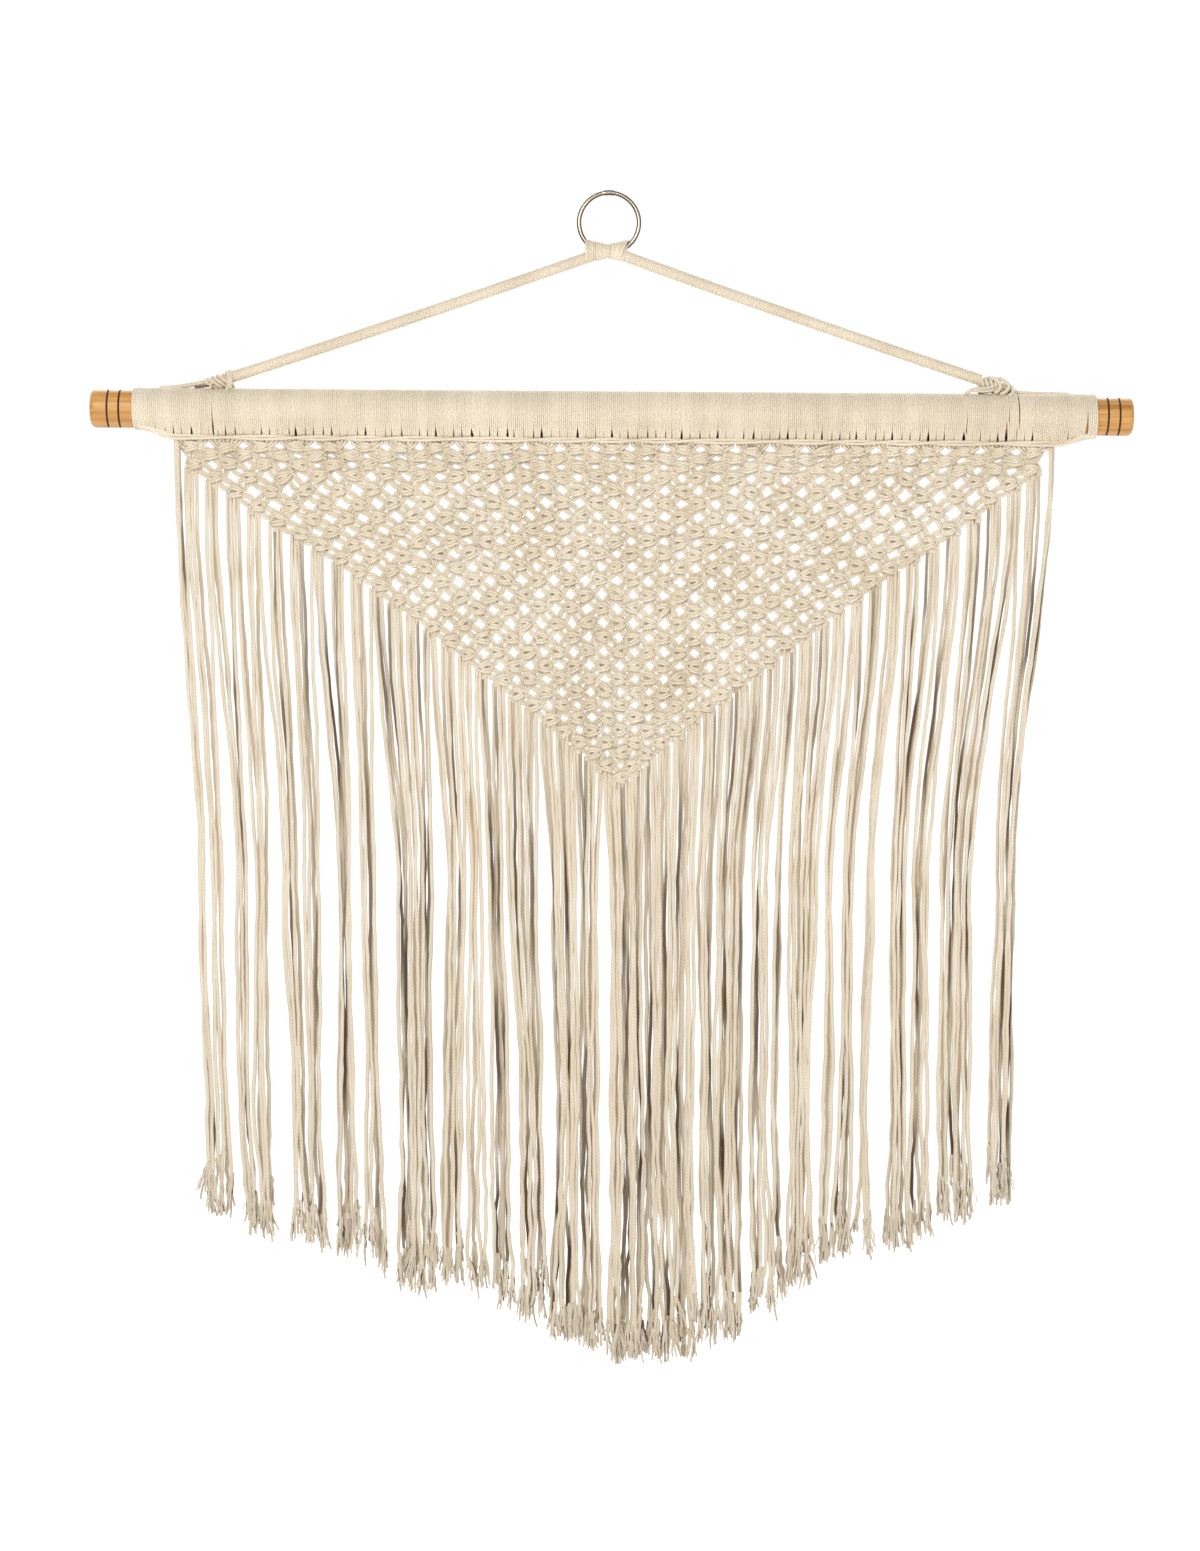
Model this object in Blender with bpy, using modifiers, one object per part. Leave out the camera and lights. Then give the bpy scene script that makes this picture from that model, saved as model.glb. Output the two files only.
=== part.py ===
"""Macrame wall hanging: a triangular net of knotted cotton cord with a long fringe, on a wooden rod.

The hanging point, inside the top of the ring, is the origin. +X is to the right, -Y the front and +Z up.
"""

import math
import random

import bmesh
import bpy
from mathutils import Matrix, Vector

MM = 0.001
GAP = 0.3 * MM  # between pieces that lie against each other
MERGE = 0.01 * MM

# Rod: turned wood, its right end a little lower than its left.
ROD_LENGTH = 914 * MM
ROD_RADIUS = 16.7 * MM
ROD_CENTRE = Vector((2.4, 0, -191.0)) * MM
ROD_TILT = math.radians(0.47)
ROD_END_ROUNDING = 4.0 * MM
ROD_END_DOME = 1.5 * MM
GROOVES_FROM_LEFT_END = (16.6 * MM, 26.8 * MM)
GROOVES_FROM_RIGHT_END = (13.6 * MM, 23.7 * MM)
GROOVE_HALF_WIDTH = 0.7 * MM
GROOVE_DEPTH = 0.8 * MM
ROD_STEPS = 24

# Wrap: one layer of yarn round the rod, drawn down to the holding cord by tabs of turns.
# Distances below the rod's axis are called drops.
WRAP_LENGTH = 842 * MM
WRAP_SHIFT = 2.9 * MM  # its middle, to the right of the rod's
WRAP_RADIUS = 18.1 * MM
WRAP_STEPS = 21
WRAP_FOOT_DROP = 19.6 * MM
WRAP_FOOT_HALF_WIDTH = 4.4 * MM
SLIT_AT = 357.8 * MM  # where the turns have parted in front and the wood shows
SLIT_WIDTH = 1.3 * MM
SLIT_TOP = 16.0 * MM
SLIT_BOTTOM = -14.0 * MM
TAB_COUNT = 13
TAB_WIDTH = 5.8 * MM
TAB_HALF_DEPTH = 4.2 * MM
TAB_BOTTOM_DROP = 28.9 * MM
TAB_CLEARANCE = 0.5 * MM

# Holding cord, under the wrap.
HOLDING_DROP = 24.3 * MM
HOLDING_RADIUS = 2.6 * MM
HOLDING_ENDS = (-414 * MM, 421 * MM)
HOLDING_BENDS = (-388 * MM, 395 * MM)
HOLDING_END_RISE = 1.3 * MM
CHANNEL_RADIUS = 3.2 * MM
CHANNEL_ENDS = (-460 * MM, 460 * MM)

# Net of alternating square knots.
KNOT_ROWS = 26
ROW_PITCH = 11.48 * MM
TOP_ROW_DROP = 34.4 * MM
NET_CENTRE_TOP = 11.4 * MM
NET_CENTRE_TIP = 10.5 * MM
COLUMN_PITCH = 30.34 * MM
COLUMN_PITCH_LOSS = 0.197 * MM  # the net draws in by this for each row further down
CORD_WIDTH = 9.8 * MM  # a doubled cord between two knots, seen from the front
CORD_DEPTH = 3.4 * MM
CORD_POINT_EVERY = 6  # rows
LAYER_OFFSET = 1.9 * MM  # cords that fall to the right lie in front of those that fall to the left
FIRST_CORD_ROW = 1.8
KNOT_EVERY = 3  # rows and columns between the knots that are built
KNOT_SIZE = Vector((20.0, 9.4, 13.5)) * MM
KNOT_FURROW = 1.25
KNOT_RIDGE = 1.9
EDGE_WIDTH = 8.6 * MM
EDGE_DEPTHS = {"left": 8.8 * MM, "right": 8.4 * MM}
EDGE_FURROW = 0.68
EDGE_FIRST_ROW = 0.8
HEADING_ENDS = (-371 * MM, 385 * MM)
HEADING_BOTTOM_DROP = 49.0 * MM
HEADING_RIDGES = 26
HEADING_FURROW = 0.84
NOTCH_HALF_DEPTH = 8 * MM
# Half of the heading's section in mm, from its loops over the holding cord down: depth at a ridge, drop.
HEADING_SECTION = (
    (2.2, 19.9),
    (4.6, 22.5),
    (5.0, 28.4),
    (5.0, HEADING_BOTTOM_DROP / MM),
)

# Fringe: the cord ends below the net's slanting edges, rooted in a narrow strip of the net's edge.
STRANDS_PER_SIDE = 88
STRAND_RADIUS = 1.5 * MM
STRAND_LAYERS = 3
STRAND_LAYER_PITCH = 3.4 * MM
STRAND_ROOM = 3.1 * MM  # from one strand to the next in its layer; they are thinner where there is less
ROOT_ROWS = {"left": (0.35, 25.84), "right": (0.9, 25.84)}
STRIP_WIDTH = 4.0 * MM
STRIP_DEPTH = 10.4 * MM
STRIP_BELOW_EDGE = 9.0 * MM
DRAW_IN = {"left": 0.950, "right": 0.915}  # of a strand's distance from the net's tip, once it hangs plumb
GATHER_DROP = 610 * MM  # below the hanging point: the strands have closed up into their clusters
LOW_DROP = 812 * MM
EARLY = (0.55, 0.74)  # by this part of the way to the gathering height, this part of the shift is done
EARLY_FROM = 150 * MM  # of that way, as a shorter one is straight
TIP_SCATTER = 7 * MM
FRINGE_SEED = 11

# Clusters of fringe strands from left to right, in mm: from X to X where they have gathered,
# lower down and at the tips, and how far the tips hang below the hanging point.
#   gathered      low         tips        drop
CLUSTERS = (
    (-359, -355, -352, -347, -352, -347, 886),
    (-348, -339, -344, -333, -344, -327, 892),
    (-326, -318, -325, -315, -315, -307, 904),
    (-310, -300, -311, -299, -304, -294, 908),
    (-285, -273, -277, -267, -274, -263, 915),
    (-267, -252, -264, -252, -261, -247, 918),
    (-237, -226, -237, -224, -239, -218, 925),
    (-216, -205, -212, -201, -213, -194, 936),
    (-186, -155, -183, -155, -183, -151, 954),
    (-143, -125, -146, -129, -146, -128, 950),
    (-122, -112, -124, -108, -125, -106, 956),
    (-105, -93, -103, -87, -103, -82, 974),
    (-88, -62, -77, -58, -79, -55, 982),
    (-51, -28, -46, -27, -52, -27, 1000),
    (-25, -9, -25, -10, -25, -5, 1006),
    (1, 29, 2, 30, -2, 31, 1019),
    (32, 75, 32, 74, 34, 77, 1012),
    (79, 90, 80, 90, 80, 93, 1000),
    (94, 118, 92, 116, 96, 116, 996),
    (125, 139, 124, 138, 122, 143, 974),
    (146, 150, 142, 148, 145, 150, 965),
    (157, 182, 159, 175, 156, 176, 952),
    (191, 195, 188, 196, 183, 190, 932),
    (206, 213, 201, 213, 194, 209, 928),
    (226, 232, 220, 226, 218, 229, 921),
    (248, 259, 247, 260, 243, 260, 919),
    (266, 280, 263, 280, 262, 282, 915),
    (290, 318, 288, 316, 286, 318, 896),
    (340, 356, 333, 353, 330, 353, 879),
)

# Ring, and the bow-shaped winding that ties the hanger to it.
RING_WIRE_RADIUS = 2.0 * MM
RING_RADIUS = 26.3 * MM  # to the middle of the wire
RING_CENTRE = Vector((0, 0, -24.3)) * MM
LASHING_CENTRE = Vector((-1.9, 0, -49.4)) * MM
# The winding's outline in mm, from its left end to its right: place along X, radius.
LASHING_OUTLINE = (
    (-19.3, 10.2),
    (-16.5, 10.5),
    (-9.0, 8.4),
    (1.5, 6.3),
    (10.0, 8.2),
    (16.5, 10.3),
    (19.3, 10.0),
)
LASHING_STEPS = 12
LASHING_FLATNESS = 0.78

# Hanger: one thick yarn-wound cord in two legs, from the rod to the ring, with a hitch at each foot.
HANGER_RADIUS = 4.7 * MM
LEG_POINTS = 8
LEG_SAG = 1.2 * MM
LEGS = {
    "left": (Vector((-332.5, 0, -160.3)) * MM, Vector((-12.0, 0, -52.3)) * MM),
    "right": (Vector((326.0, 0, -162.4)) * MM, Vector((9.0, 0, -51.9)) * MM),
}
HITCH_RADIUS = 6.4 * MM
HITCH_FURROW = 5.3 * MM
HITCH_TURNS = 4
HITCH_STEPS = 10
HITCH_LENGTHS = {"left": 17.5 * MM, "right": 22.0 * MM}
TAIL_RADIUS = 1.7 * MM
# The hanger's thin tails along the top of the rod, in mm, and a short end beside the right hitch.
TAILS = {
    "left": (
        ((-343, 1, -163.5), (-358, 3, -165.2), (-372, 5, -166.6), (-384, 6.5, -167.7), (-394, 7.5, -168.2)),
    ),
    "right": (
        ((341, 1, -168.5), (352, 3, -171.8), (366, 4.5, -173.2), (384, 5.5, -173.9), (404, 6.5, -174.4)),
        ((334, -2, -169.0), (326, -4, -172.0), (317, -5.5, -172.6)),
    ),
}

COTTON = (0.86, 0.76, 0.60)
COTTON_WOUND = (0.84, 0.75, 0.61)
WOOD = (0.68, 0.38, 0.12)
STEEL = (0.62, 0.58, 0.52)

PLANE_YZ = Matrix(((0, 0, 1, 0), (1, 0, 0, 0), (0, 1, 0, 0), (0, 0, 0, 1)))


def clear_scene():
    for item in list(bpy.data.objects):
        bpy.data.objects.remove(item, do_unlink=True)


def new_collection(name):
    collection = bpy.data.collections.new(name)
    bpy.context.scene.collection.children.link(collection)
    return collection


clear_scene()
PARTS = new_collection("macrame_wall_hanging")
GUIDES = new_collection("cutters_and_guides")


def place(name, data, collection, frame=None):
    """An object in one of the two collections, on the frame's axes if one is given."""
    item = bpy.data.objects.new(name, data)
    collection.objects.link(item)
    if frame is not None:
        item.parent = frame
    return item


def guide(name, data, frame=None):
    """A cutter or a shape that is joined to a part, which isn't a part itself."""
    item = place(name, data, GUIDES, frame)
    item.hide_render = True
    item.display_type = "WIRE"
    return item


def finish(item, colour, roughness, metallic=0.0):
    """The part's own material, and smooth shading between its sharp edges."""
    material = bpy.data.materials.new(item.name)
    material.use_nodes = True
    shader = material.node_tree.nodes["Principled BSDF"]
    shader.inputs["Base Color"].default_value = (*colour, 1)
    shader.inputs["Roughness"].default_value = roughness
    shader.inputs["Metallic"].default_value = metallic
    item.data.materials.append(material)
    item.data.shade_smooth()
    item.data.set_sharp_from_angle(angle=math.radians(40))
    return item


def combine(item, other, operation):
    """Joins another closed shape to a part, or cuts it away."""
    step = item.modifiers.new(other.name, "BOOLEAN")
    step.operation = operation
    step.solver = "EXACT"
    step.object = other


def swept_mesh(name, routes, frame=None, radius=0.0, section=None, upright=True):
    """Cords along their routes, round or with a given section, as one closed mesh in the world's axes.

    A route is a list of points, or of pairs of a point and the cord's girth there. A slanting cord's
    section is kept upright; one that hangs plumb has no upright, and its section isn't twisted instead.
    """
    curve = bpy.data.curves.new(name + "_route", "CURVE")
    curve.dimensions = "3D"
    curve.twist_mode = "Z_UP" if upright else "MINIMUM"
    curve.use_fill_caps = True
    outline = None
    if section:
        outline_data = bpy.data.curves.new(name + "_section", "CURVE")
        outline_data.dimensions = "2D"
        ring = outline_data.splines.new("POLY")
        ring.points.add(len(section) - 1)
        for point, (across, deep) in zip(ring.points, section):
            point.co = (deep, across, 0, 1)
        ring.use_cyclic_u = True
        outline = guide(name + "_section", outline_data)
        curve.bevel_mode = "OBJECT"
        curve.bevel_object = outline
    else:
        curve.bevel_depth = radius
        curve.bevel_resolution = 2
    for route in routes:
        spline = curve.splines.new("POLY")
        spline.points.add(len(route) - 1)
        for point, stop in zip(spline.points, route):
            where, girth = stop if isinstance(stop, tuple) else (stop, 1.0)
            point.co = (*where, 1)
            point.radius = girth
    mesh = world_mesh(guide(name + "_route", curve, frame))
    if outline:
        bpy.data.objects.remove(outline, do_unlink=True)
    return mesh


def world_mesh(item):
    """Takes an object's shape away as a welded mesh in the world's axes, facing outwards."""
    bpy.context.view_layer.update()
    graph = bpy.context.evaluated_depsgraph_get()
    mesh = bpy.data.meshes.new_from_object(item.evaluated_get(graph))
    mesh.transform(item.matrix_world)
    shape = bmesh.new()
    shape.from_mesh(mesh)
    bmesh.ops.remove_doubles(shape, verts=shape.verts, dist=MERGE)
    bmesh.ops.recalc_face_normals(shape, faces=shape.faces)
    shape.to_mesh(mesh)
    shape.free()
    bpy.data.objects.remove(item, do_unlink=True)
    return mesh


def slab_mesh(name, outlines, half_thickness, matrix, frame):
    """Flat closed outlines, the later ones holes in the first, given a thickness."""
    curve = bpy.data.curves.new(name + "_outline", "CURVE")
    curve.dimensions = "2D"
    curve.fill_mode = "BOTH"
    curve.extrude = half_thickness
    for outline in outlines:
        spline = curve.splines.new("POLY")
        spline.points.add(len(outline) - 1)
        for point, (across, up) in zip(spline.points, outline):
            point.co = (across, up, 0, 1)
        spline.use_cyclic_u = True
    item = guide(name + "_outline", curve, frame)
    item.matrix_local = matrix
    return world_mesh(item)


def box_mesh(name, boxes, frame=None):
    """Boxes given by their low and high corners, as one mesh in the world's axes."""
    shape = bmesh.new()
    for low, high in boxes:
        size = high - low
        matrix = Matrix.Translation((low + high) / 2) @ Matrix.Diagonal((*size, 1))
        bmesh.ops.create_cube(shape, size=1, matrix=matrix)
    mesh = bpy.data.meshes.new(name)
    shape.to_mesh(mesh)
    shape.free()
    if frame:
        mesh.transform(frame.matrix_world)
    return mesh


def turned(name, profile, steps, collection):
    """A profile of radius and height, from top to bottom, turned about Z."""
    mesh = bpy.data.meshes.new(name)
    points = [(radius, 0, height) for radius, height in profile]
    mesh.from_pydata(points, [(i, i + 1) for i in range(len(points) - 1)], [])
    item = place(name, mesh, collection)
    screw = item.modifiers.new("turned", "SCREW")
    screw.axis = "Z"
    screw.steps = steps
    screw.render_steps = steps
    screw.use_merge_vertices = True
    screw.merge_threshold = MERGE
    return item


def circle(radius, count, first=0.0, last=math.tau):
    """Points round a circle, or along an arc with both of its ends."""
    steps = count if last - first >= math.tau else count - 1
    angles = [first + (last - first) * i / steps for i in range(count)]
    return [(radius * math.cos(a), radius * math.sin(a)) for a in angles]


def between(a, b, part):
    return a + (b - a) * part


# ---------------------------------------------------------------- rod

ROD_AXIS = bpy.data.objects.new("rod_axis", None)
PARTS.objects.link(ROD_AXIS)
ROD_AXIS.location = ROD_CENTRE
ROD_AXIS.rotation_euler = (0, ROD_TILT, 0)
bpy.context.view_layer.update()


def groove(height):
    return [
        (ROD_RADIUS, height + GROOVE_HALF_WIDTH),
        (ROD_RADIUS - GROOVE_DEPTH, height),
        (ROD_RADIUS, height - GROOVE_HALF_WIDTH),
    ]


def make_dowel():
    """The rod, turned from its right end to its left."""
    end = ROD_LENGTH / 2
    shoulder = end - ROD_END_ROUNDING
    corner = 0.3 * ROD_END_ROUNDING
    flat_radius = ROD_RADIUS - ROD_END_ROUNDING
    cap = [(0, end), (flat_radius, end - ROD_END_DOME), (ROD_RADIUS - corner, end - 2 * corner)]
    profile = cap + [(ROD_RADIUS, shoulder)]
    for distance in GROOVES_FROM_RIGHT_END:
        profile += groove(end - distance)
    for distance in reversed(GROOVES_FROM_LEFT_END):
        profile += groove(distance - end)
    profile += [(ROD_RADIUS, -shoulder)] + [(radius, -height) for radius, height in reversed(cap)]
    dowel = turned("dowel", profile, ROD_STEPS, PARTS)
    dowel.parent = ROD_AXIS
    dowel.rotation_euler = (0, math.radians(90), 0)
    return finish(dowel, WOOD, 0.45)


def tab_places():
    """The middles of the wrap's tabs along the rod."""
    pitch = (HEADING_ENDS[1] - HEADING_ENDS[0]) / TAB_COUNT
    return [HEADING_ENDS[0] + (i + 0.5) * pitch for i in range(TAB_COUNT)]


def tab_boxes(side_clearance, bottom_clearance, half_depth):
    """A box round each tab, from inside the wrap's foot to below the holding cord."""
    boxes = []
    for middle in tab_places():
        half = TAB_WIDTH / 2 + side_clearance
        low = Vector((middle - half, -half_depth, -TAB_BOTTOM_DROP - bottom_clearance))
        high = Vector((middle + half, half_depth, -WRAP_FOOT_DROP + 1 * MM))
        boxes.append((low, high))
    return boxes


def straight_cord(radius, ends, name):
    """A straight round bar along the holding cord's line."""
    route = [Vector((x, 0, -HOLDING_DROP)) for x in ends]
    return guide(name, swept_mesh(name, [route], ROD_AXIS, radius=radius))


def make_wrap():
    """The winding: a thin shell round the rod, flat below, with tabs round the holding cord."""
    foot = Vector((WRAP_FOOT_HALF_WIDTH, -WRAP_FOOT_DROP))
    lowest = math.atan2(foot.y, foot.x) + math.acos(WRAP_RADIUS / foot.length)
    outside = circle(WRAP_RADIUS, WRAP_STEPS, lowest, math.pi - lowest)
    outside += [(-foot.x, foot.y), (foot.x, foot.y)]
    bore = circle((ROD_RADIUS + GAP) / math.cos(math.pi / ROD_STEPS), ROD_STEPS)
    along_rod = Matrix.Translation((WRAP_SHIFT, 0, 0)) @ PLANE_YZ
    shell = slab_mesh("rod_wrap", [outside, bore], WRAP_LENGTH / 2, along_rod, ROD_AXIS)
    wrap = place("rod_wrap", shell, PARTS)
    tabs = tab_boxes(0, 0, TAB_HALF_DEPTH)
    combine(wrap, guide("wrap_tabs", box_mesh("wrap_tabs", tabs, ROD_AXIS)), "UNION")
    combine(wrap, straight_cord(CHANNEL_RADIUS, CHANNEL_ENDS, "wrap_channel"), "DIFFERENCE")
    slit_low = Vector((SLIT_AT - SLIT_WIDTH / 2, -2 * WRAP_RADIUS, SLIT_BOTTOM))
    slit_high = Vector((SLIT_AT + SLIT_WIDTH / 2, 0, SLIT_TOP))
    combine(wrap, guide("wrap_slit", box_mesh("wrap_slit", [(slit_low, slit_high)], ROD_AXIS)), "DIFFERENCE")
    return finish(wrap, COTTON_WOUND, 0.9)


def make_holding_cord():
    """The cord under the rod that carries the net, its ends rising to the wrap's ends."""
    level = -HOLDING_DROP
    risen = level + HOLDING_END_RISE
    stops = (
        (HOLDING_ENDS[0], risen),
        (HOLDING_BENDS[0], level),
        (0, level),
        (HOLDING_BENDS[1], level),
        (HOLDING_ENDS[1], risen),
    )
    route = [Vector((x, 0, z)) for x, z in stops]
    cord = place("holding_cord", swept_mesh("holding_cord", [route], ROD_AXIS, radius=HOLDING_RADIUS), PARTS)
    return finish(cord, COTTON, 0.9)


# ---------------------------------------------------------------- net


def net_point(row, column, forward=0.0):
    """Where the knot of a row and column sits; both may be fractions. Rows count from 1 at the rod."""
    pitch = COLUMN_PITCH - COLUMN_PITCH_LOSS * row
    down = (row - 1) / (KNOT_ROWS - 1)
    x = between(NET_CENTRE_TOP, NET_CENTRE_TIP, down) + (column - (KNOT_ROWS - row) / 2) * pitch
    slope = (1 - down) * math.tan(ROD_TILT)
    z = ROD_CENTRE.z - TOP_ROW_DROP - (row - 1) * ROW_PITCH - (x - ROD_CENTRE.x) * slope
    return Vector((x, -forward, z))


def knot_places():
    """Rows and columns of the knots that are built, none of them on the net's edges."""
    places = []
    for row in range(KNOT_EVERY, KNOT_ROWS - 1, KNOT_EVERY):
        places += [(row, column) for column in range(1, KNOT_ROWS - row, KNOT_EVERY)]
    return places


def cord_stops(last_row):
    """The rows where a slanting cord has a point: its ends, and some between, as it curves a little."""
    rows = range(CORD_POINT_EVERY, KNOT_ROWS, CORD_POINT_EVERY)
    inner = [row for row in rows if row < last_row - 1]
    return [FIRST_CORD_ROW] + inner + [last_row]


def slanting_cords():
    """Routes of the cords that fall to the right, in front, and to the left, behind."""
    to_right, to_left = [], []
    for line in range(1, KNOT_ROWS - 2):
        right_end = KNOT_ROWS - line
        to_right.append([net_point(row, line, LAYER_OFFSET) for row in cord_stops(right_end)])
        left_end = line + 2
        to_left.append([net_point(row, left_end - row, -LAYER_OFFSET) for row in cord_stops(left_end)])
    return to_right, to_left


def edge_route(side):
    """A slanting edge of the net, thick at each of its knots and thin between them."""
    stops = [(EDGE_FIRST_ROW, EDGE_FURROW)]
    for half_row in range(2, 2 * KNOT_ROWS + 1):
        stops.append((half_row / 2, EDGE_FURROW if half_row % 2 else 1.0))
    route = []
    for row, girth in stops:
        column = 0 if side == "left" else KNOT_ROWS - row
        route.append((net_point(row, column), girth))
    return route


def diamond(width, depth):
    """A cord's section: a ridge along its middle, front and back."""
    return ((width / 2, 0), (0, depth / 2), (-width / 2, 0), (0, -depth / 2))


def band(width, depth):
    """A flat strip's section."""
    return (
        (width / 2, depth / 2),
        (-width / 2, depth / 2),
        (-width / 2, -depth / 2),
        (width / 2, -depth / 2),
    )


def knots_mesh():
    """Square knots, each a flattened ball whose two turns are ridges with a furrow between them."""
    shape = bmesh.new()
    eighth_turn = Matrix.Rotation(math.radians(45), 4, "Z")
    for row, column in knot_places():
        ball = bmesh.ops.create_uvsphere(shape, u_segments=4, v_segments=4, radius=0.5, matrix=eighth_turn)
        for corner in ball["verts"]:
            girth = KNOT_FURROW if abs(corner.co.z) < 0.1 else KNOT_RIDGE
            corner.co.x *= girth
            corner.co.y *= girth
            corner.co = net_point(row, column) + corner.co * KNOT_SIZE
    mesh = bpy.data.meshes.new("net_knots")
    shape.to_mesh(mesh)
    shape.free()
    return mesh


def heading_mesh():
    """The first, tight rows as one ridged band, with its loops over the holding cord."""
    last_row = 1 + (HEADING_BOTTOM_DROP - TOP_ROW_DROP) / ROW_PITCH
    low_ends = (net_point(last_row, 0).x, net_point(last_row, KNOT_ROWS - last_row).x)
    stations = 2 * HEADING_RIDGES + 1
    points = []
    for i in range(stations):
        part = i / (stations - 1)
        girth = 1.0 if i % 2 else HEADING_FURROW
        for side in (-1, 1):
            for depth, drop in HEADING_SECTION[::side]:
                ends = low_ends if drop * MM == HEADING_BOTTOM_DROP else HEADING_ENDS
                points.append((between(*ends, part), side * depth * girth * MM, -drop * MM))
    count = 2 * len(HEADING_SECTION)
    faces = []
    for i in range(stations - 1):
        for k in range(count):
            corners = (i * count + k, i * count + (k + 1) % count)
            faces.append((corners[0], corners[1], corners[0] + count))
            faces.append((corners[1], corners[1] + count, corners[0] + count))
    for first in (0, (stations - 1) * count):
        for k in range(len(HEADING_SECTION) - 1):
            faces.append((first + k, first + k + 1, first + count - 2 - k, first + count - 1 - k))
    mesh = bpy.data.meshes.new("heading")
    mesh.from_pydata(points, [], faces)
    return world_mesh(guide("heading", mesh, ROD_AXIS))


def make_net():
    """Strands fused at the heading, the two edges and the built knots, hung on the holding cord."""
    net = place("macrame_net", heading_mesh(), PARTS)
    notches = tab_boxes(TAB_CLEARANCE, TAB_CLEARANCE, NOTCH_HALF_DEPTH)
    combine(net, guide("heading_notches", box_mesh("heading_notches", notches, ROD_AXIS)), "DIFFERENCE")
    combine(net, straight_cord(CHANNEL_RADIUS, CHANNEL_ENDS, "heading_channel"), "DIFFERENCE")
    to_right, to_left = slanting_cords()
    section = diamond(CORD_WIDTH, CORD_DEPTH)
    combine(net, guide("front_cords", swept_mesh("front_cords", to_right, section=section)), "UNION")
    combine(net, guide("back_cords", swept_mesh("back_cords", to_left, section=section)), "UNION")
    for side in ("left", "right"):
        name = "edge_" + side
        section = diamond(EDGE_WIDTH, EDGE_DEPTHS[side])
        combine(net, guide(name, swept_mesh(name, [edge_route(side)], section=section)), "UNION")
    combine(net, guide("net_knots", knots_mesh()), "UNION")
    return finish(net, COTTON, 0.9)


# ---------------------------------------------------------------- fringe


def root_point(side, part):
    """A place along a side's root strip, from its outer corner, 0, to the net's tip, 1."""
    first, last = ROOT_ROWS[side]
    row = between(first, last, part)
    column = 0 if side == "left" else KNOT_ROWS - row
    return net_point(row, column) - Vector((0, 0, STRIP_BELOW_EDGE))


def nearest_cluster(x):
    """The cluster whose gathered stretch is nearest to X."""
    x_mm = x / MM

    def distance(index):
        low, high = CLUSTERS[index][:2]
        return max(low - x_mm, x_mm - high, 0)

    return min(range(len(CLUSTERS)), key=distance)


def fringe_strands():
    """Every strand from left to right: its side, root point and cluster."""
    strands = []
    for side in ("left", "right"):
        order = range(STRANDS_PER_SIDE)
        for i in order if side == "left" else reversed(order):
            root = root_point(side, (i + 0.5) / STRANDS_PER_SIDE)
            plumb = NET_CENTRE_TIP + (root.x - NET_CENTRE_TIP) * DRAW_IN[side]
            strands.append((side, root, nearest_cluster(plumb)))
    return strands


def fringe_routes():
    """The strands' routes by side, each stop with the strand's girth there.

    Neighbours lie in different layers, so that none touch.
    """
    chance = random.Random(FRINGE_SEED)
    strands = fringe_strands()
    routes = {"left": [], "right": []}
    for index, (side, root, cluster) in enumerate(strands):
        members = [i for i, strand in enumerate(strands) if strand[2] == cluster]
        across = (index - members[0] + 0.5) / len(members)
        stretches, drop = CLUSTERS[cluster][:6], CLUSTERS[cluster][6] * MM
        layer = (index % STRAND_LAYERS - (STRAND_LAYERS - 1) / 2) * STRAND_LAYER_PITCH
        places, girths = [], []
        for low, high in zip(stretches[::2], stretches[1::2]):
            places.append(between(low, high, across) * MM)
            girths.append(min(1, STRAND_LAYERS * (high - low) * MM / len(members) / STRAND_ROOM))
        stops = [(root.x, -root.z, 1)]
        if root.z + GATHER_DROP > EARLY_FROM:
            early_drop = between(-root.z, GATHER_DROP, EARLY[0])
            stops.append((between(root.x, places[0], EARLY[1]), early_drop, 1))
        drops = (GATHER_DROP, LOW_DROP, drop - chance.uniform(0, 2 * TIP_SCATTER))
        stops += list(zip(places, drops, girths))
        routes[side].append([(Vector((x, layer, -down)), girth) for x, down, girth in stops])
    return routes


def make_fringes():
    """One solid for each side: a narrow strip of the net's edge with its strands."""
    routes = fringe_routes()
    triangle = circle(STRAND_RADIUS, 3, math.radians(90), math.radians(90) + math.tau)
    for side in ("left", "right"):
        name = "fringe_" + side
        strip_route = [root_point(side, i / 8) for i in range(9)]
        strip = swept_mesh(name + "_strip", [strip_route], section=band(STRIP_WIDTH, STRIP_DEPTH))
        fringe = place(name, strip, PARTS)
        strands = swept_mesh(name + "_strands", routes[side], section=triangle, upright=False)
        combine(fringe, guide(name + "_strands", strands), "UNION")
        finish(fringe, COTTON, 0.9)


# ---------------------------------------------------------------- hanger and ring


def make_ring():
    """The welded wire ring, facing front."""
    bpy.ops.mesh.primitive_torus_add(
        major_segments=32,
        minor_segments=6,
        major_radius=RING_RADIUS,
        minor_radius=RING_WIRE_RADIUS,
        location=RING_CENTRE,
        rotation=(math.radians(90), 0, 0),
    )
    ring = bpy.context.active_object
    ring.name = "ring"
    for collection in list(ring.users_collection):
        collection.objects.unlink(ring)
    PARTS.objects.link(ring)
    return finish(ring, STEEL, 0.25, metallic=1.0)


def ring_clearance():
    """The ring's wire grown by the gap, which cuts its tunnel in the lashing."""
    bpy.ops.mesh.primitive_torus_add(
        major_segments=32,
        minor_segments=6,
        major_radius=RING_RADIUS,
        minor_radius=(RING_WIRE_RADIUS + GAP) / math.cos(math.pi / 6),
        location=RING_CENTRE,
        rotation=(math.radians(90), 0, 0),
    )
    return guide("ring_tunnel", world_mesh(bpy.context.active_object))


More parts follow.
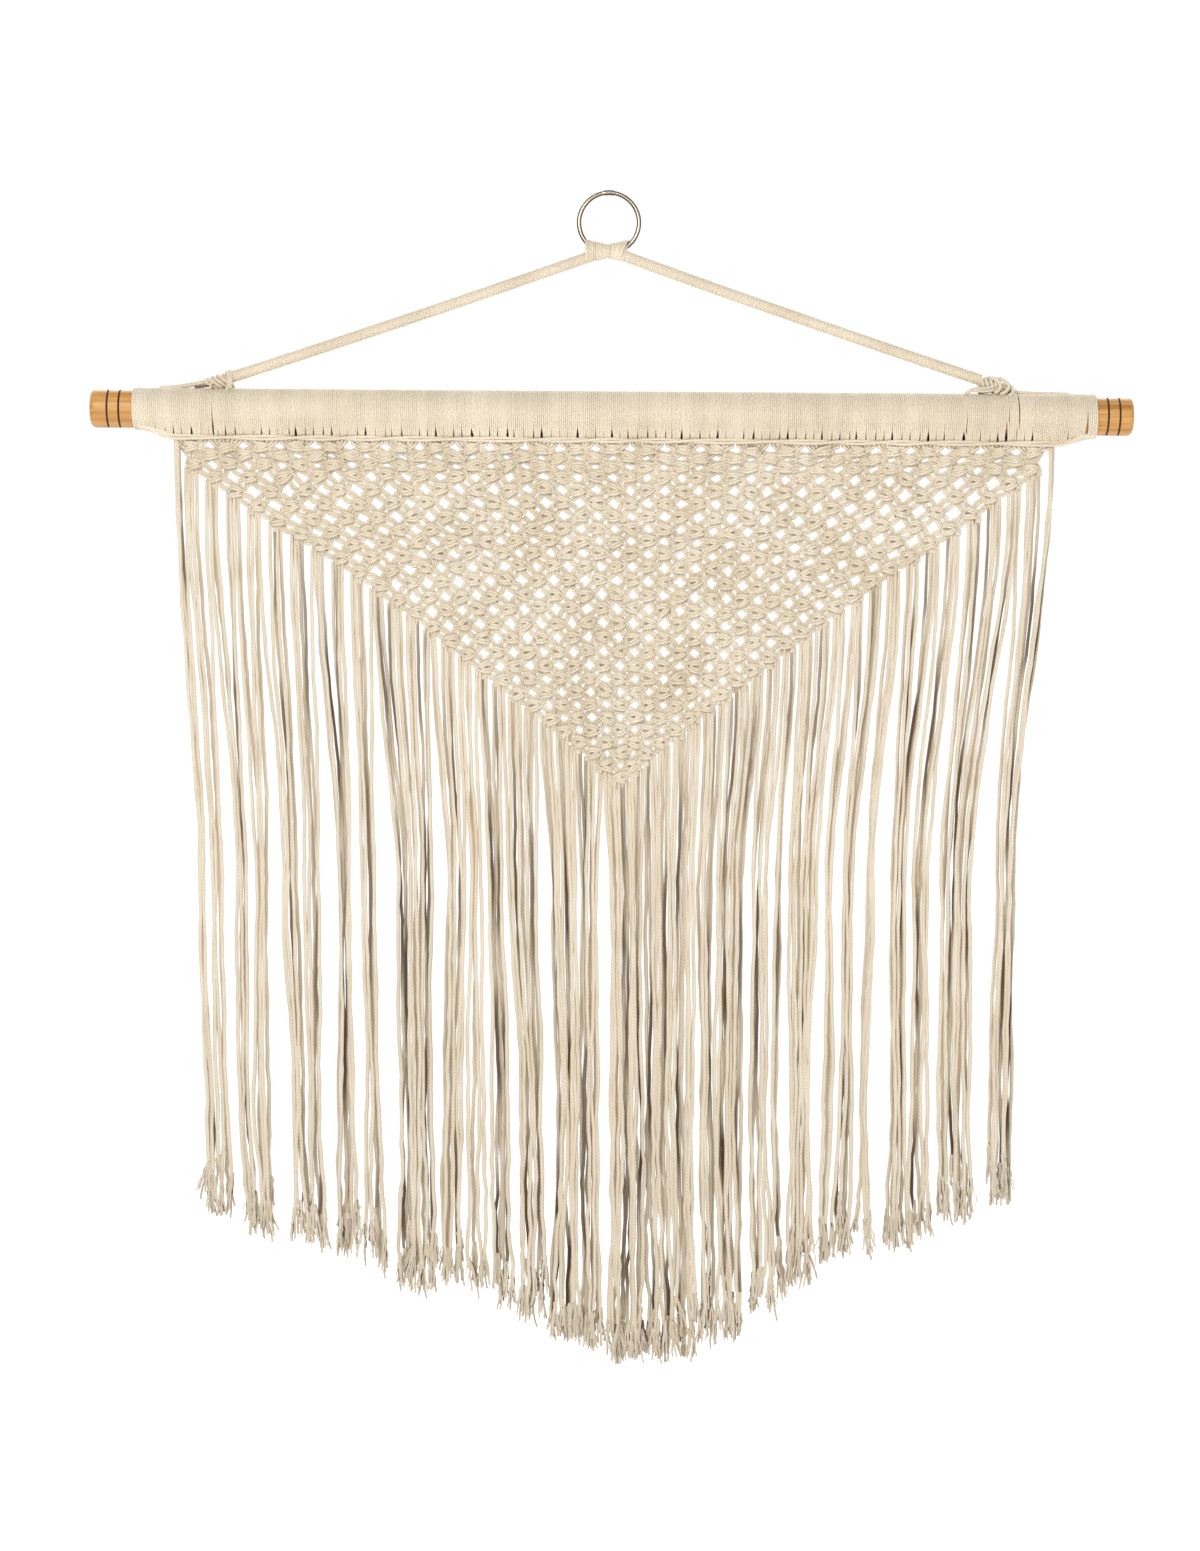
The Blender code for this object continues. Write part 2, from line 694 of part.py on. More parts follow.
def make_lashing():
    """The bow-shaped winding round the ring's lowest arc, its ends cut flat for the two legs."""
    outline = [(radius * MM, x * MM) for x, radius in reversed(LASHING_OUTLINE)]
    profile = [(0, outline[0][1])] + outline + [(0, outline[-1][1])]
    lashing = turned("ring_lashing", profile, LASHING_STEPS, PARTS)
    lashing.location = LASHING_CENTRE
    lashing.rotation_euler = (0, math.radians(90), 0)
    lashing.scale = (1, LASHING_FLATNESS, 1)
    combine(lashing, ring_clearance(), "DIFFERENCE")
    return finish(lashing, COTTON_WOUND, 0.9)


def leg_mesh(side):
    """A leg of the hanger from its hitch to the lashing, trimmed flush with the lashing's end."""
    foot, top = LEGS[side]
    route = []
    for i in range(LEG_POINTS):
        part = i / (LEG_POINTS - 1)
        sag = 4 * part * (1 - part) * LEG_SAG
        route.append(between(foot, top, part) - Vector((0, 0, sag)))
    mesh = swept_mesh("hanger_leg_" + side, [route], radius=HANGER_RADIUS)
    end = LASHING_OUTLINE[0 if side == "left" else -1][0] * MM
    outward = -1 if side == "left" else 1
    face = LASHING_CENTRE + Vector((end + outward * GAP, 0, 0))
    shape = bmesh.new()
    shape.from_mesh(mesh)
    every = list(shape.verts) + list(shape.edges) + list(shape.faces)
    inward = (-outward, 0, 0)
    cut = bmesh.ops.bisect_plane(shape, geom=every, plane_co=face, plane_no=inward, clear_outer=True)
    rim = [edge for edge in cut["geom_cut"] if isinstance(edge, bmesh.types.BMEdge)]
    bmesh.ops.edgeloop_fill(shape, edges=rim)
    bmesh.ops.recalc_face_normals(shape, faces=shape.faces)
    shape.to_mesh(mesh)
    shape.free()
    return mesh


def make_legs():
    for side in ("left", "right"):
        finish(place("hanger_leg_" + side, leg_mesh(side), PARTS), COTTON_WOUND, 0.9)


def saddle():
    """The wrap grown by the gap, which cuts the underside of the hitches."""
    radius = (WRAP_RADIUS + GAP) / math.cos(math.pi / 32)
    along_rod = Matrix.Translation((WRAP_SHIFT, 0, 0)) @ PLANE_YZ
    return guide("saddle", slab_mesh("saddle", [circle(radius, 32)], WRAP_LENGTH / 2, along_rod, ROD_AXIS))


def make_hitch(side, cutter):
    """The knot at a leg's foot: turns round the leg's line, and the thin tail along the rod."""
    foot, top = LEGS[side]
    direction = (top - foot).normalized()
    half = HITCH_LENGTHS[side] / 2
    turn = 2 * half / (HITCH_TURNS + 1)
    profile = [(0, half), (HITCH_FURROW, half)]
    for i in range(HITCH_TURNS):
        middle = half - (i + 1) * turn
        profile += [(HITCH_RADIUS, middle + 0.2 * turn), (HITCH_RADIUS, middle - 0.2 * turn)]
        profile.append((HITCH_FURROW, middle - turn / 2))
    profile += [(HITCH_FURROW, -half), (0, -half)]
    hitch = turned("hanger_knot_" + side, profile, HITCH_STEPS, PARTS)
    hitch.location = foot - direction * (half + GAP)
    hitch.rotation_euler = direction.to_track_quat("Z", "Y").to_euler()
    tails = [[Vector(point) * MM for point in tail] for tail in TAILS[side]]
    for number, tail in enumerate(tails):
        name = f"tail_{side}_{number}"
        combine(hitch, guide(name, swept_mesh(name, [tail], radius=TAIL_RADIUS)), "UNION")
    combine(hitch, cutter, "DIFFERENCE")
    return finish(hitch, COTTON, 0.9)


make_dowel()
make_wrap()
make_holding_cord()
make_net()
make_fringes()
make_ring()
make_lashing()
make_legs()
saddle_cutter = saddle()
for hitch_side in ("left", "right"):
    make_hitch(hitch_side, saddle_cutter)
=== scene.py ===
import math
import random

import bpy
from mathutils import Matrix, Vector


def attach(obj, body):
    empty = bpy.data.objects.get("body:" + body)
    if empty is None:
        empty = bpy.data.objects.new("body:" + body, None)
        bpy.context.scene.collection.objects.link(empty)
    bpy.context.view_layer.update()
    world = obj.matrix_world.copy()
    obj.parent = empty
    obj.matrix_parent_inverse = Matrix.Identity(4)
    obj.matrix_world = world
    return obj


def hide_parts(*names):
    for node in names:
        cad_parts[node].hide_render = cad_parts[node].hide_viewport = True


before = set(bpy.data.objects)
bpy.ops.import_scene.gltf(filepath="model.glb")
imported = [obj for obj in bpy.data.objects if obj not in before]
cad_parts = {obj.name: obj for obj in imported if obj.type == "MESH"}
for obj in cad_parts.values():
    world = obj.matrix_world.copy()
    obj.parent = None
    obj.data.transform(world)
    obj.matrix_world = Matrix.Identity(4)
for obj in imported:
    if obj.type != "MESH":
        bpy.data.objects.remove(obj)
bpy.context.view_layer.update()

# ---------------------------------------------------------------- camera, floor and lights
# A camera square on to the hanging, about 2.5 m off, over a pale paper floor. Large soft lights stand
# left and right of it and over the floor behind, and the far side of the studio is white.

MM = 0.001
CAMERA_PLACE = (-7.9, -2543.6, -509.2)
FRAME_HEIGHT = 1551 * 0.8771  # mm, for 1551 pixels at the hanging's own distance
SENSOR = 24.0
FLOOR_HEIGHT = -1330
FLOOR_HALF_WIDTH = 3400
STUDIO_BRIGHTNESS = (0.34, 1.08)  # on the camera's side and on the far side
STUDIO_EDGE = (-0.2, 0.4)  # from where to where one turns into the other, as a direction's Y
# Place, aim, size in mm, power in watts.
LIGHTS = {
    "key": ((-1100, -2700, 500), (0, 0, -500), 1700, 45),
    "fill": ((1400, -2600, 0), (0, 0, -500), 1700, 22),
    "floor": ((0, 2200, 1200), (0, 2000, -1330), 2400, 60),
}


def linear(hex_colour):
    """An sRGB colour such as "#F6E4C8" as linear red, green, blue and 1."""
    parts = [int(hex_colour[i : i + 2], 16) / 255 for i in (1, 3, 5)]
    return (*[c / 12.92 if c <= 0.04045 else ((c + 0.055) / 1.055) ** 2.4 for c in parts], 1.0)


def add_node(tree, kind, inputs=None, **settings):
    """Adds a node with its settings.

    Its inputs are values, or outputs of other nodes, by name or number.
    """
    made = tree.nodes.new(kind)
    for name, value in settings.items():
        setattr(made, name, value)
    for key, value in (inputs or {}).items():
        named = [socket for socket in made.inputs if socket.enabled and socket.name == key]
        socket = named[0] if named else made.inputs[key]
        if isinstance(value, bpy.types.NodeSocket):
            tree.links.new(value, socket)
        else:
            socket.default_value = value
    return made


def ranged(tree, value, start, end, least=0.0, most=1.0):
    """A value carried from the range start to end into least to most."""
    inputs = {"Value": value, "From Min": start, "From Max": end, "To Min": least, "To Max": most}
    return add_node(tree, "ShaderNodeMapRange", inputs).outputs[0]


def new_material(name, roughness):
    """A material, its node tree and its shader."""
    material = bpy.data.materials.new(name)
    material.use_nodes = True
    shader = material.node_tree.nodes["Principled BSDF"]
    shader.inputs["Roughness"].default_value = roughness
    return material, material.node_tree, shader


def add_object(name, data):
    item = bpy.data.objects.new(name, data)
    bpy.context.scene.collection.objects.link(item)
    return item


def aim(item, place, target):
    item.location = Vector(place) * MM
    item.rotation_euler = (Vector(target) - Vector(place)).to_track_quat("-Z", "Y").to_euler()


camera_data = bpy.data.cameras.new("camera")
camera_data.sensor_fit = "VERTICAL"
camera_data.sensor_height = SENSOR
camera_data.lens = SENSOR * -CAMERA_PLACE[1] / FRAME_HEIGHT
camera = add_object("camera", camera_data)
aim(camera, CAMERA_PLACE, (CAMERA_PLACE[0], 0, CAMERA_PLACE[2]))
bpy.context.scene.camera = camera
bpy.context.scene.view_settings.view_transform = "Standard"

world = bpy.data.worlds.new("studio")
world.use_nodes = True
studio = world.node_tree
studio.nodes["Background"].inputs["Color"].default_value = linear("#FFFFFF")
bearing = add_node(studio, "ShaderNodeTexCoord").outputs["Generated"]
bearing_depth = add_node(studio, "ShaderNodeSeparateXYZ", {0: bearing}).outputs[1]
brightness = ranged(studio, bearing_depth, *STUDIO_EDGE, *STUDIO_BRIGHTNESS)
studio.links.new(brightness, studio.nodes["Background"].inputs["Strength"])
bpy.context.scene.world = world

for light_name, (place, target, size, power) in LIGHTS.items():
    light = bpy.data.lights.new(light_name, "AREA")
    light.size = size * MM
    light.energy = power
    lamp = add_object(light_name, light)
    lamp.visible_camera = False
    aim(lamp, place, target)

# Matte studio paper: no gloss, nearly white.
paper, paper_tree, paper_shader = new_material("matte white paper", 0.95)
paper_shader.inputs["Base Color"].default_value = linear("#F8F8F8")
paper_grain = add_node(paper_tree, "ShaderNodeTexNoise", {"Scale": 600.0, "Detail": 3.0})
paper_bump = add_node(
    paper_tree, "ShaderNodeBump", {"Height": paper_grain.outputs[0], "Strength": 0.05}
)
paper_tree.links.new(paper_bump.outputs[0], paper_shader.inputs["Normal"])

floor_mesh = bpy.data.meshes.new("paper_floor")
floor_corners = [
    (x * FLOOR_HALF_WIDTH, y * FLOOR_HALF_WIDTH, FLOOR_HEIGHT)
    for x, y in ((-1, -1), (1, -1), (1, 1), (-1, 1))
]
floor_mesh.from_pydata([Vector(corner) * MM for corner in floor_corners], [], [(0, 1, 2, 3)])
floor_mesh.materials.append(paper)
floor = add_object("paper_floor", floor_mesh)

# ---------------------------------------------------------------- hanger
# One thick cord in two legs from the rod to the ring, closely wound with cotton yarn, so that its
# skin is fine turns across it. It is taut under the weight of the rod and the net.

# Foot on the rod and end in the lashing, in mm.
LEGS = {
    "left": (Vector((-332.5, 0, -160.3)), Vector((-16.0, 0, -53.7))),
    "right": (Vector((326.0, 0, -162.4)), Vector((9.5, 0, -52.1))),
}
LEG_SAG = 1.2
LEG_RADIUS = 5.2
LEG_YARN = 1.8
LEG_PITCH = 1.5
LEG_TURN_POINTS = 12
LEG_LEAN = 1.1  # mm that a turn's top lies nearer the ring than its underside
LEG_CORE_GAP = 0.2  # from the core's skin to the middle of the yarn
# Painted shade: the core under the turns is a little darker, to show as shade between them.
LEG_CORE_SHADE = 0.1
LEG_STEPS = 40
CORD_SOCKETS = {
    "Route": "Geometry", "Thickness": "Float", "Sides": "Int", "Steps between points": "Int",
    "Material": "Material",
}


def calculate(tree, operation, *values):
    """The result of a Math node."""
    inputs = dict(enumerate(values))
    return add_node(tree, "ShaderNodeMath", inputs, operation=operation).outputs[0]


def cord_tree():
    """Nodes that sweep a round cord along routes: chains of edges with a girth at each point.

    Two attributes go with it for the materials: along, in metres, and round, the place on the section.
    """
    tree = bpy.data.node_groups.new("cord along its route", "GeometryNodeTree")
    face = tree.interface
    for name, kind in CORD_SOCKETS.items():
        face.new_socket(name, in_out="INPUT", socket_type="NodeSocket" + kind)
    face.new_socket("Cord", in_out="OUTPUT", socket_type="NodeSocketGeometry")
    given = add_node(tree, "NodeGroupInput").outputs
    line = add_node(tree, "GeometryNodeMeshToCurve", {"Mesh": given["Route"]})
    curved = add_node(
        tree, "GeometryNodeCurveSplineType", {"Curve": line.outputs[0]}, spline_type="CATMULL_ROM"
    )
    stepped = add_node(
        tree,
        "GeometryNodeSetSplineResolution",
        {"Geometry": curved.outputs[0], "Resolution": given["Steps between points"]},
    )
    length = add_node(tree, "GeometryNodeSplineParameter").outputs["Length"]
    measured = add_node(
        tree,
        "GeometryNodeStoreNamedAttribute",
        {"Geometry": stepped.outputs[0], "Name": "along", "Value": length},
    )
    half = calculate(tree, "MULTIPLY", given["Thickness"], 0.5)
    section = add_node(
        tree, "GeometryNodeCurvePrimitiveCircle", {"Resolution": given["Sides"], "Radius": half}
    )
    spot = add_node(tree, "GeometryNodeInputPosition")
    direction = add_node(tree, "ShaderNodeVectorMath", {0: spot.outputs[0]}, operation="NORMALIZE")
    marked = add_node(
        tree,
        "GeometryNodeStoreNamedAttribute",
        {"Geometry": section.outputs[0], "Name": "round", "Value": direction.outputs[0]},
        data_type="FLOAT_VECTOR",
    )
    girth = add_node(tree, "GeometryNodeInputNamedAttribute", {"Name": "girth"}, data_type="FLOAT")
    skin = add_node(
        tree,
        "GeometryNodeCurveToMesh",
        {
            "Curve": measured.outputs[0],
            "Profile Curve": marked.outputs[0],
            "Scale": girth.outputs[0],
            "Fill Caps": True,
        },
    )
    soft = add_node(tree, "GeometryNodeSetShadeSmooth", {"Geometry": skin.outputs[0]})
    real = add_node(tree, "GeometryNodeRealizeInstances", {"Geometry": soft.outputs[0]})
    dyed = add_node(
        tree, "GeometryNodeSetMaterial", {"Geometry": real.outputs[0], "Material": given["Material"]}
    )
    add_node(tree, "NodeGroupOutput", {"Cord": dyed.outputs[0]})
    return tree


CORD = cord_tree()
CORD_INPUTS = {
    item.name: item.identifier for item in CORD.interface.items_tree if item.in_out == "INPUT"
}


def plain_mesh(item):
    """Turns what an object's modifiers make into its own mesh."""
    bpy.context.view_layer.update()
    graph = bpy.context.evaluated_depsgraph_get()
    mesh = bpy.data.meshes.new_from_object(item.evaluated_get(graph))
    item.modifiers.clear()
    item.data = mesh
    return item


def cords(name, routes, thickness, material, sides=5, steps=1, closed=False):
    """Cords along routes, as one object.

    A route is a list of (point in mm, girth, tone). Girth is a share of thickness, and tone 1 is deep
    shade.
    """
    points, edges, girths, tones = [], [], [], []
    for route in routes:
        first = len(points)
        for point, girth, tone in route:
            points.append(Vector(point) * MM)
            girths.append(girth)
            tones.append(tone)
        edges += [(i, i + 1) for i in range(first, len(points) - 1)]
        if closed:
            edges.append((len(points) - 1, first))
    mesh = bpy.data.meshes.new(name)
    mesh.from_pydata(points, edges, [])
    for attribute, values in (("girth", girths), ("tone", tones)):
        mesh.attributes.new(attribute, "FLOAT", "POINT").data.foreach_set("value", values)
    item = add_object(name, mesh)
    modifier = item.modifiers.new("cord", "NODES")
    modifier.node_group = CORD
    modifier[CORD_INPUTS["Thickness"]] = thickness * MM
    modifier[CORD_INPUTS["Sides"]] = sides
    modifier[CORD_INPUTS["Steps between points"]] = steps
    modifier[CORD_INPUTS["Material"]] = material
    return plain_mesh(item)


def noise(tree, place, scale, detail, roughness=0.5):
    inputs = {"Vector": place, "Scale": scale, "Detail": detail, "Roughness": roughness}
    return add_node(tree, "ShaderNodeTexNoise", inputs).outputs[0]


def mixed(tree, share, first, second):
    """A colour between two others, by a share from 0 to 1."""
    inputs = {0: share, 6: first, 7: second}
    return add_node(tree, "ShaderNodeMix", inputs, data_type="RGBA").outputs[2]


def roughen(tree, shader, height, relief, strength):
    """Gives a material a skin with furrows, relief mm deep."""
    inputs = {"Height": height, "Distance": relief * MM, "Strength": strength}
    bump = add_node(tree, "ShaderNodeBump", inputs)
    tree.links.new(bump.outputs[0], shader.inputs["Normal"])


def cotton(name, lit, dull, deep, plies, lay, relief):
    """Cotton yarn or cord of twisted plies: matte, with a soft bloom of fibres.

    lit and dull are its colour in patches of a few centimetres, deep the colour of painted shade where
    tone is 1.
    lay is the length of one turn of a ply and relief the depth of the furrows between plies, in mm.
    """
    material, tree, shader = new_material(name, 0.92)
    shader.inputs["Specular IOR Level"].default_value = 0.2
    shader.inputs["Sheen Weight"].default_value = 0.18
    shader.inputs["Sheen Roughness"].default_value = 0.6
    along = add_node(tree, "ShaderNodeAttribute", attribute_name="along").outputs["Fac"]
    section = add_node(tree, "ShaderNodeAttribute", attribute_name="round").outputs["Vector"]
    tone = add_node(tree, "ShaderNodeAttribute", attribute_name="tone").outputs["Fac"]
    sides = add_node(tree, "ShaderNodeSeparateXYZ", {0: section})
    angle = calculate(tree, "ARCTAN2", sides.outputs[1], sides.outputs[0])
    turned = calculate(tree, "MULTIPLY", angle, float(plies))
    phase = calculate(tree, "MULTIPLY_ADD", along, math.tau * plies / (lay * MM), turned)
    furrow = calculate(tree, "SINE", phase)
    spot = add_node(tree, "ShaderNodeTexCoord").outputs["Object"]
    # Loose fibres, about 0.9 mm apart, and patches of 45 mm.
    fibres = noise(tree, spot, 1 / (0.9 * MM), 3.0, 0.6)
    patches = noise(tree, spot, 1 / (45 * MM), 2.0)
    height = calculate(tree, "MULTIPLY_ADD", furrow, 0.5, fibres)
    roughen(tree, shader, height, relief, 0.8)
    patched = mixed(tree, ranged(tree, patches, 0.35, 0.65), linear(lit), linear(dull))
    # Painted shade: the colour is up to 14% darker in the furrows between plies and among the fibres.
    lines = ranged(tree, height, 0.15, 0.75, 0.86, 1.0)
    furrow_shaded = add_node(
        tree, "ShaderNodeVectorMath", {0: patched, "Scale": lines}, operation="SCALE"
    )
    # Painted shade: where tone is set, the colour is mixed towards deep.
    shaded = mixed(tree, tone, furrow_shaded.outputs[0], linear(deep))
    tree.links.new(shaded, shader.inputs["Base Color"])
    return material


# Wound cotton yarn: two plies, matte, cream with a grey cast where it has been handled.
wound_yarn = cotton("wound cotton yarn", "#F1E4CD", "#E8DAC2", "#6B5233", 2, 4.0, 0.18)


def hang(piece, slot, *nodes):
    """Puts a finished piece on the hanging in place of its plain solids."""
    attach(piece, "root")
    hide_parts(*nodes)


def axis_between(foot, top, sag=0.0):
    """A function of the part of the way: the point, along and upward directions there."""
    direction = (top - foot).normalized()
    upward = Vector((-direction.z, 0, direction.x))
    upward = upward if upward.z > 0 else -upward

    def at(part):
        drop = Vector((0, 0, 4 * part * (1 - part) * sag))
        return foot.lerp(top, part) - drop, direction, upward

    return at


def winding(at, radius, count, points, lean):
    """Turns of yarn round an axis. at and radius are functions of the part of the way along it."""
    route = []
    for i in range(count * points + 1):
        part = i / (count * points)
        turn = math.tau * i / points
        centre, direction, upward = at(part)
        reach = radius(part)
        across = Vector((0, -1, 0)) * (math.sin(turn) * reach)
        place = centre + across + upward * (math.cos(turn) * reach)
        route.append((place + direction * (lean * math.cos(turn)), 1.0, 0.0))
    return route


for side, (foot, top) in LEGS.items():
    at = axis_between(foot, top, LEG_SAG)
    turns = round((top - foot).length / LEG_PITCH)
    yarn_centre = LEG_RADIUS - LEG_YARN / 2
    wound = winding(at, lambda part: yarn_centre, turns, LEG_TURN_POINTS, LEG_LEAN)
    centreline = [at(i / LEG_STEPS)[0] for i in range(LEG_STEPS + 1)]
    core_girth = 2 * (yarn_centre - LEG_CORE_GAP) / LEG_YARN
    core = [(point, core_girth, LEG_CORE_SHADE) for point in centreline]
    leg = cords("wound_leg_" + side, [core, wound], LEG_YARN, wound_yarn)
    hang(leg, "wound_yarn", "hanger_leg_" + side)

# ---------------------------------------------------------------- ring
# A welded ring of 4 mm steel wire, 57 mm across, nickel plated. The weld at the top is a low collar
# with a small step beside it. It is caught in the lashing below.

RING_CENTRE = Vector((0, 0, -24.3))
RING_RADIUS = 26.3
RING_WIRE = 4.0
RING_POINTS = 120
WELD_REACH = 4.2  # mm along the wire from the top
WELD_STEP = 1.4  # and from there to the step's far side
WELD_GIRTHS = (1.16, 0.9)  # of the collar and of the step

# Nickel-plated steel wire: bright in front and behind, with dark brown painted reflections on the
# flanks that face into the ring and out of it, and fine draw lines along it.
nickel, nickel_tree, nickel_shader = new_material("nickel-plated steel wire", 0.3)
nickel_shader.inputs["Metallic"].default_value = 1.0
wire_along = add_node(nickel_tree, "ShaderNodeAttribute", attribute_name="along").outputs["Fac"]
wire_round = add_node(nickel_tree, "ShaderNodeAttribute", attribute_name="round").outputs["Vector"]
wire_stretch = calculate(nickel_tree, "MULTIPLY", wire_along, 22.0)
wire_sides = add_node(nickel_tree, "ShaderNodeSeparateXYZ", {0: wire_round})
wire_place = add_node(
    nickel_tree,
    "ShaderNodeCombineXYZ",
    {0: wire_stretch, 1: wire_sides.outputs[0], 2: wire_sides.outputs[1]},
)
draw_lines = noise(nickel_tree, wire_place.outputs[0], 3.2, 4.0)
# Painted reflection: the flanks are painted dark brown as dark reflections, and the draw lines along
# the wire add darker streaks.
reflection_flank = calculate(nickel_tree, "ABSOLUTE", wire_sides.outputs[1])
reflection_and_draw_lines = calculate(nickel_tree, "MULTIPLY_ADD", draw_lines, 0.4, reflection_flank)
reflection_and_draw_lines = ranged(nickel_tree, reflection_and_draw_lines, 0.35, 1.0)
wire_colour = mixed(nickel_tree, reflection_and_draw_lines, linear("#BDB2A0"), linear("#4A3C2A"))
nickel_tree.links.new(wire_colour, nickel_shader.inputs["Base Color"])
roughen(nickel_tree, nickel_shader, draw_lines, 0.08, 0.4)

ring_route = []
for i in range(RING_POINTS):
    turn = math.tau * i / RING_POINTS
    from_top = abs(math.remainder(turn, math.tau) * RING_RADIUS)
    girth = 1.0
    if from_top < WELD_REACH:
        girth = WELD_GIRTHS[0]
    elif from_top < WELD_REACH + WELD_STEP:
        girth = WELD_GIRTHS[1]
    outward = Vector((math.sin(turn), 0, math.cos(turn)))
    ring_route.append((RING_CENTRE + outward * RING_RADIUS, girth, 0.0))
ring = cords("nickel_ring", [ring_route], RING_WIRE, nickel, sides=16, closed=True)
hang(ring, "ring_steel", "ring")

# ---------------------------------------------------------------- lashing
# Yarn wound tightly round the two legs and the lowest arc of the ring, drawn in at the middle like a
# bow. The last turns at the right lie aslant, with a narrow gap before them.

LASHING_CENTRE = Vector((-1.9, 0, -49.4))
# Place along X and radius, in mm.
LASHING_OUTLINE = (
    (-19.3, 10.2), (-16.5, 10.5), (-9.0, 8.4), (1.5, 6.3), (10.0, 8.2), (16.5, 10.3), (19.3, 10.0),
)
LASHING_YARN = 1.6
LASHING_TURNS = 23
LASHING_TURN_POINTS = 24
LASHING_REACH = (-18.5, 15.0)  # of the turns' middles along X
LASHING_LEANS = (0.4, 3.5)  # of the first turns, and how much more the last leans, mm either way
LASHING_SLIP = 0.25  # that each turn is out of line
LASHING_FLATNESS = 0.8
LASHING_CORE_PAST = 3.2  # the core runs on this far past the last turn
# Painted shade: the core under the turns is darker, to show as shade between them.
LASHING_CORE_SHADE = 0.25
LASHING_CORE_STEPS = 20


def lashing_radius(x):
    for (x0, r0), (x1, r1) in zip(LASHING_OUTLINE, LASHING_OUTLINE[1:]):
        if x <= x1:
            part = (x - x0) / (x1 - x0)
            return r0 + (r1 - r0) * part - LASHING_YARN / 2
    return LASHING_OUTLINE[-1][1] - LASHING_YARN / 2


chance = random.Random(4)
lashing_wound = []
for i in range(LASHING_TURNS * LASHING_TURN_POINTS + 1):
    part = i / (LASHING_TURNS * LASHING_TURN_POINTS)
    turn = math.tau * i / LASHING_TURN_POINTS
    if i % LASHING_TURN_POINTS == 0:
        slip = chance.uniform(-LASHING_SLIP, LASHING_SLIP)
    lean = (LASHING_LEANS[0] + LASHING_LEANS[1] * part ** 4) * math.cos(turn)
    x = LASHING_REACH[0] + (LASHING_REACH[1] - LASHING_REACH[0]) * part + lean + slip
    reach = lashing_radius(x) + 0.6 * slip
    place = LASHING_CENTRE + Vector((x, -math.sin(turn) * reach, math.cos(turn) * reach))
    lashing_wound.append((place, 1.0, 0.0))
lashing_core = []
core_length = LASHING_REACH[1] + LASHING_CORE_PAST - LASHING_REACH[0]
for i in range(LASHING_CORE_STEPS + 1):
    x = LASHING_REACH[0] + core_length * i / LASHING_CORE_STEPS
    # It lies just under the turns, and is thinner past them.
    reach = lashing_radius(x) - 0.35 - max(0, x - LASHING_REACH[1] + 2) * 0.5
    girth = 2 * reach / LASHING_YARN
    lashing_core.append((LASHING_CENTRE + Vector((x, 0, 0)), girth, LASHING_CORE_SHADE))
lashing = cords("bow_lashing", [lashing_core, lashing_wound], LASHING_YARN, wound_yarn, sides=8)
for corner in lashing.data.vertices:
    corner.co.y *= LASHING_FLATNESS
hang(lashing, "wound_yarn", "ring_lashing")

# ---------------------------------------------------------------- rod
# A turned pine rod, 914 mm long and 33 mm thick, varnished. Its ends are rounded, and near each two
# thin lines are burnt in on the lathe with a wire. The right end hangs a little lower.

ROD_LENGTH = 914.0
ROD_RADIUS = 16.7
ROD_CENTRE = Vector((2.4, 0, -191.0))
ROD_TILT = math.radians(0.47)
ROD_AXES = Matrix.Translation(ROD_CENTRE) @ Matrix.Rotation(ROD_TILT, 4, "Y")
ROD_SIDES = 72
END_FACE = ((0.0, 0.0), (8.0, 0.3))  # radius and depth of the slightly domed end
END_DEPTH = 0.9  # where the rounding starts
END_ROUNDING = 4.6
END_STEPS = 5
GROOVES = (-ROD_LENGTH / 2 + 16.6, -ROD_LENGTH / 2 + 26.8, ROD_LENGTH / 2 - 23.7, ROD_LENGTH / 2 - 13.6)
GROOVE_HALF = 0.9
GROOVE_DEPTH = 0.8

# Varnished pine: golden tan, with darker growth lines along the rod 2 to 4 mm apart, and a satin
# varnish that gives a soft highlight along the top.
pine, pine_tree, pine_shader = new_material("varnished pine", 0.42)
pine_shader.inputs["Coat Weight"].default_value = 0.25
pine_shader.inputs["Coat Roughness"].default_value = 0.3
pine_spot = add_node(pine_tree, "ShaderNodeTexCoord").outputs["Object"]
pine_stretch = add_node(
    pine_tree,
    "ShaderNodeMapping",
    {"Vector": pine_spot, "Location": (0.0, 0.0, 0.191), "Scale": (12.0, 300.0, 300.0)},
)
pine_grain = noise(pine_tree, pine_stretch.outputs[0], 1.0, 5.0, 0.6)
pine_lines = ranged(pine_tree, pine_grain, 0.36, 0.64)
pine_colour = mixed(pine_tree, pine_lines, linear("#AE7A38"), linear("#DDA255"))
pine_tree.links.new(pine_colour, pine_shader.inputs["Base Color"])
roughen(pine_tree, pine_shader, pine_grain, 0.1, 0.3)

# Burnt line: charred wood, dark brown and matte, a little lighter where the wire slipped.
burnt, burnt_tree, burnt_shader = new_material("burnt line in pine", 0.7)
burnt_spot = add_node(burnt_tree, "ShaderNodeTexCoord").outputs["Object"]
slips = noise(burnt_tree, burnt_spot, 400.0, 3.0)
burnt_colour = mixed(burnt_tree, slips, linear("#2A1C10"), linear("#5A4125"))
burnt_tree.links.new(burnt_colour, burnt_shader.inputs["Base Color"])


def groove(place):
    """The points of the rod's profile at a burnt line."""
    return [
        (ROD_RADIUS, place - GROOVE_HALF, True),
        (ROD_RADIUS - GROOVE_DEPTH, place, True),
        (ROD_RADIUS, place + GROOVE_HALF, False),
    ]


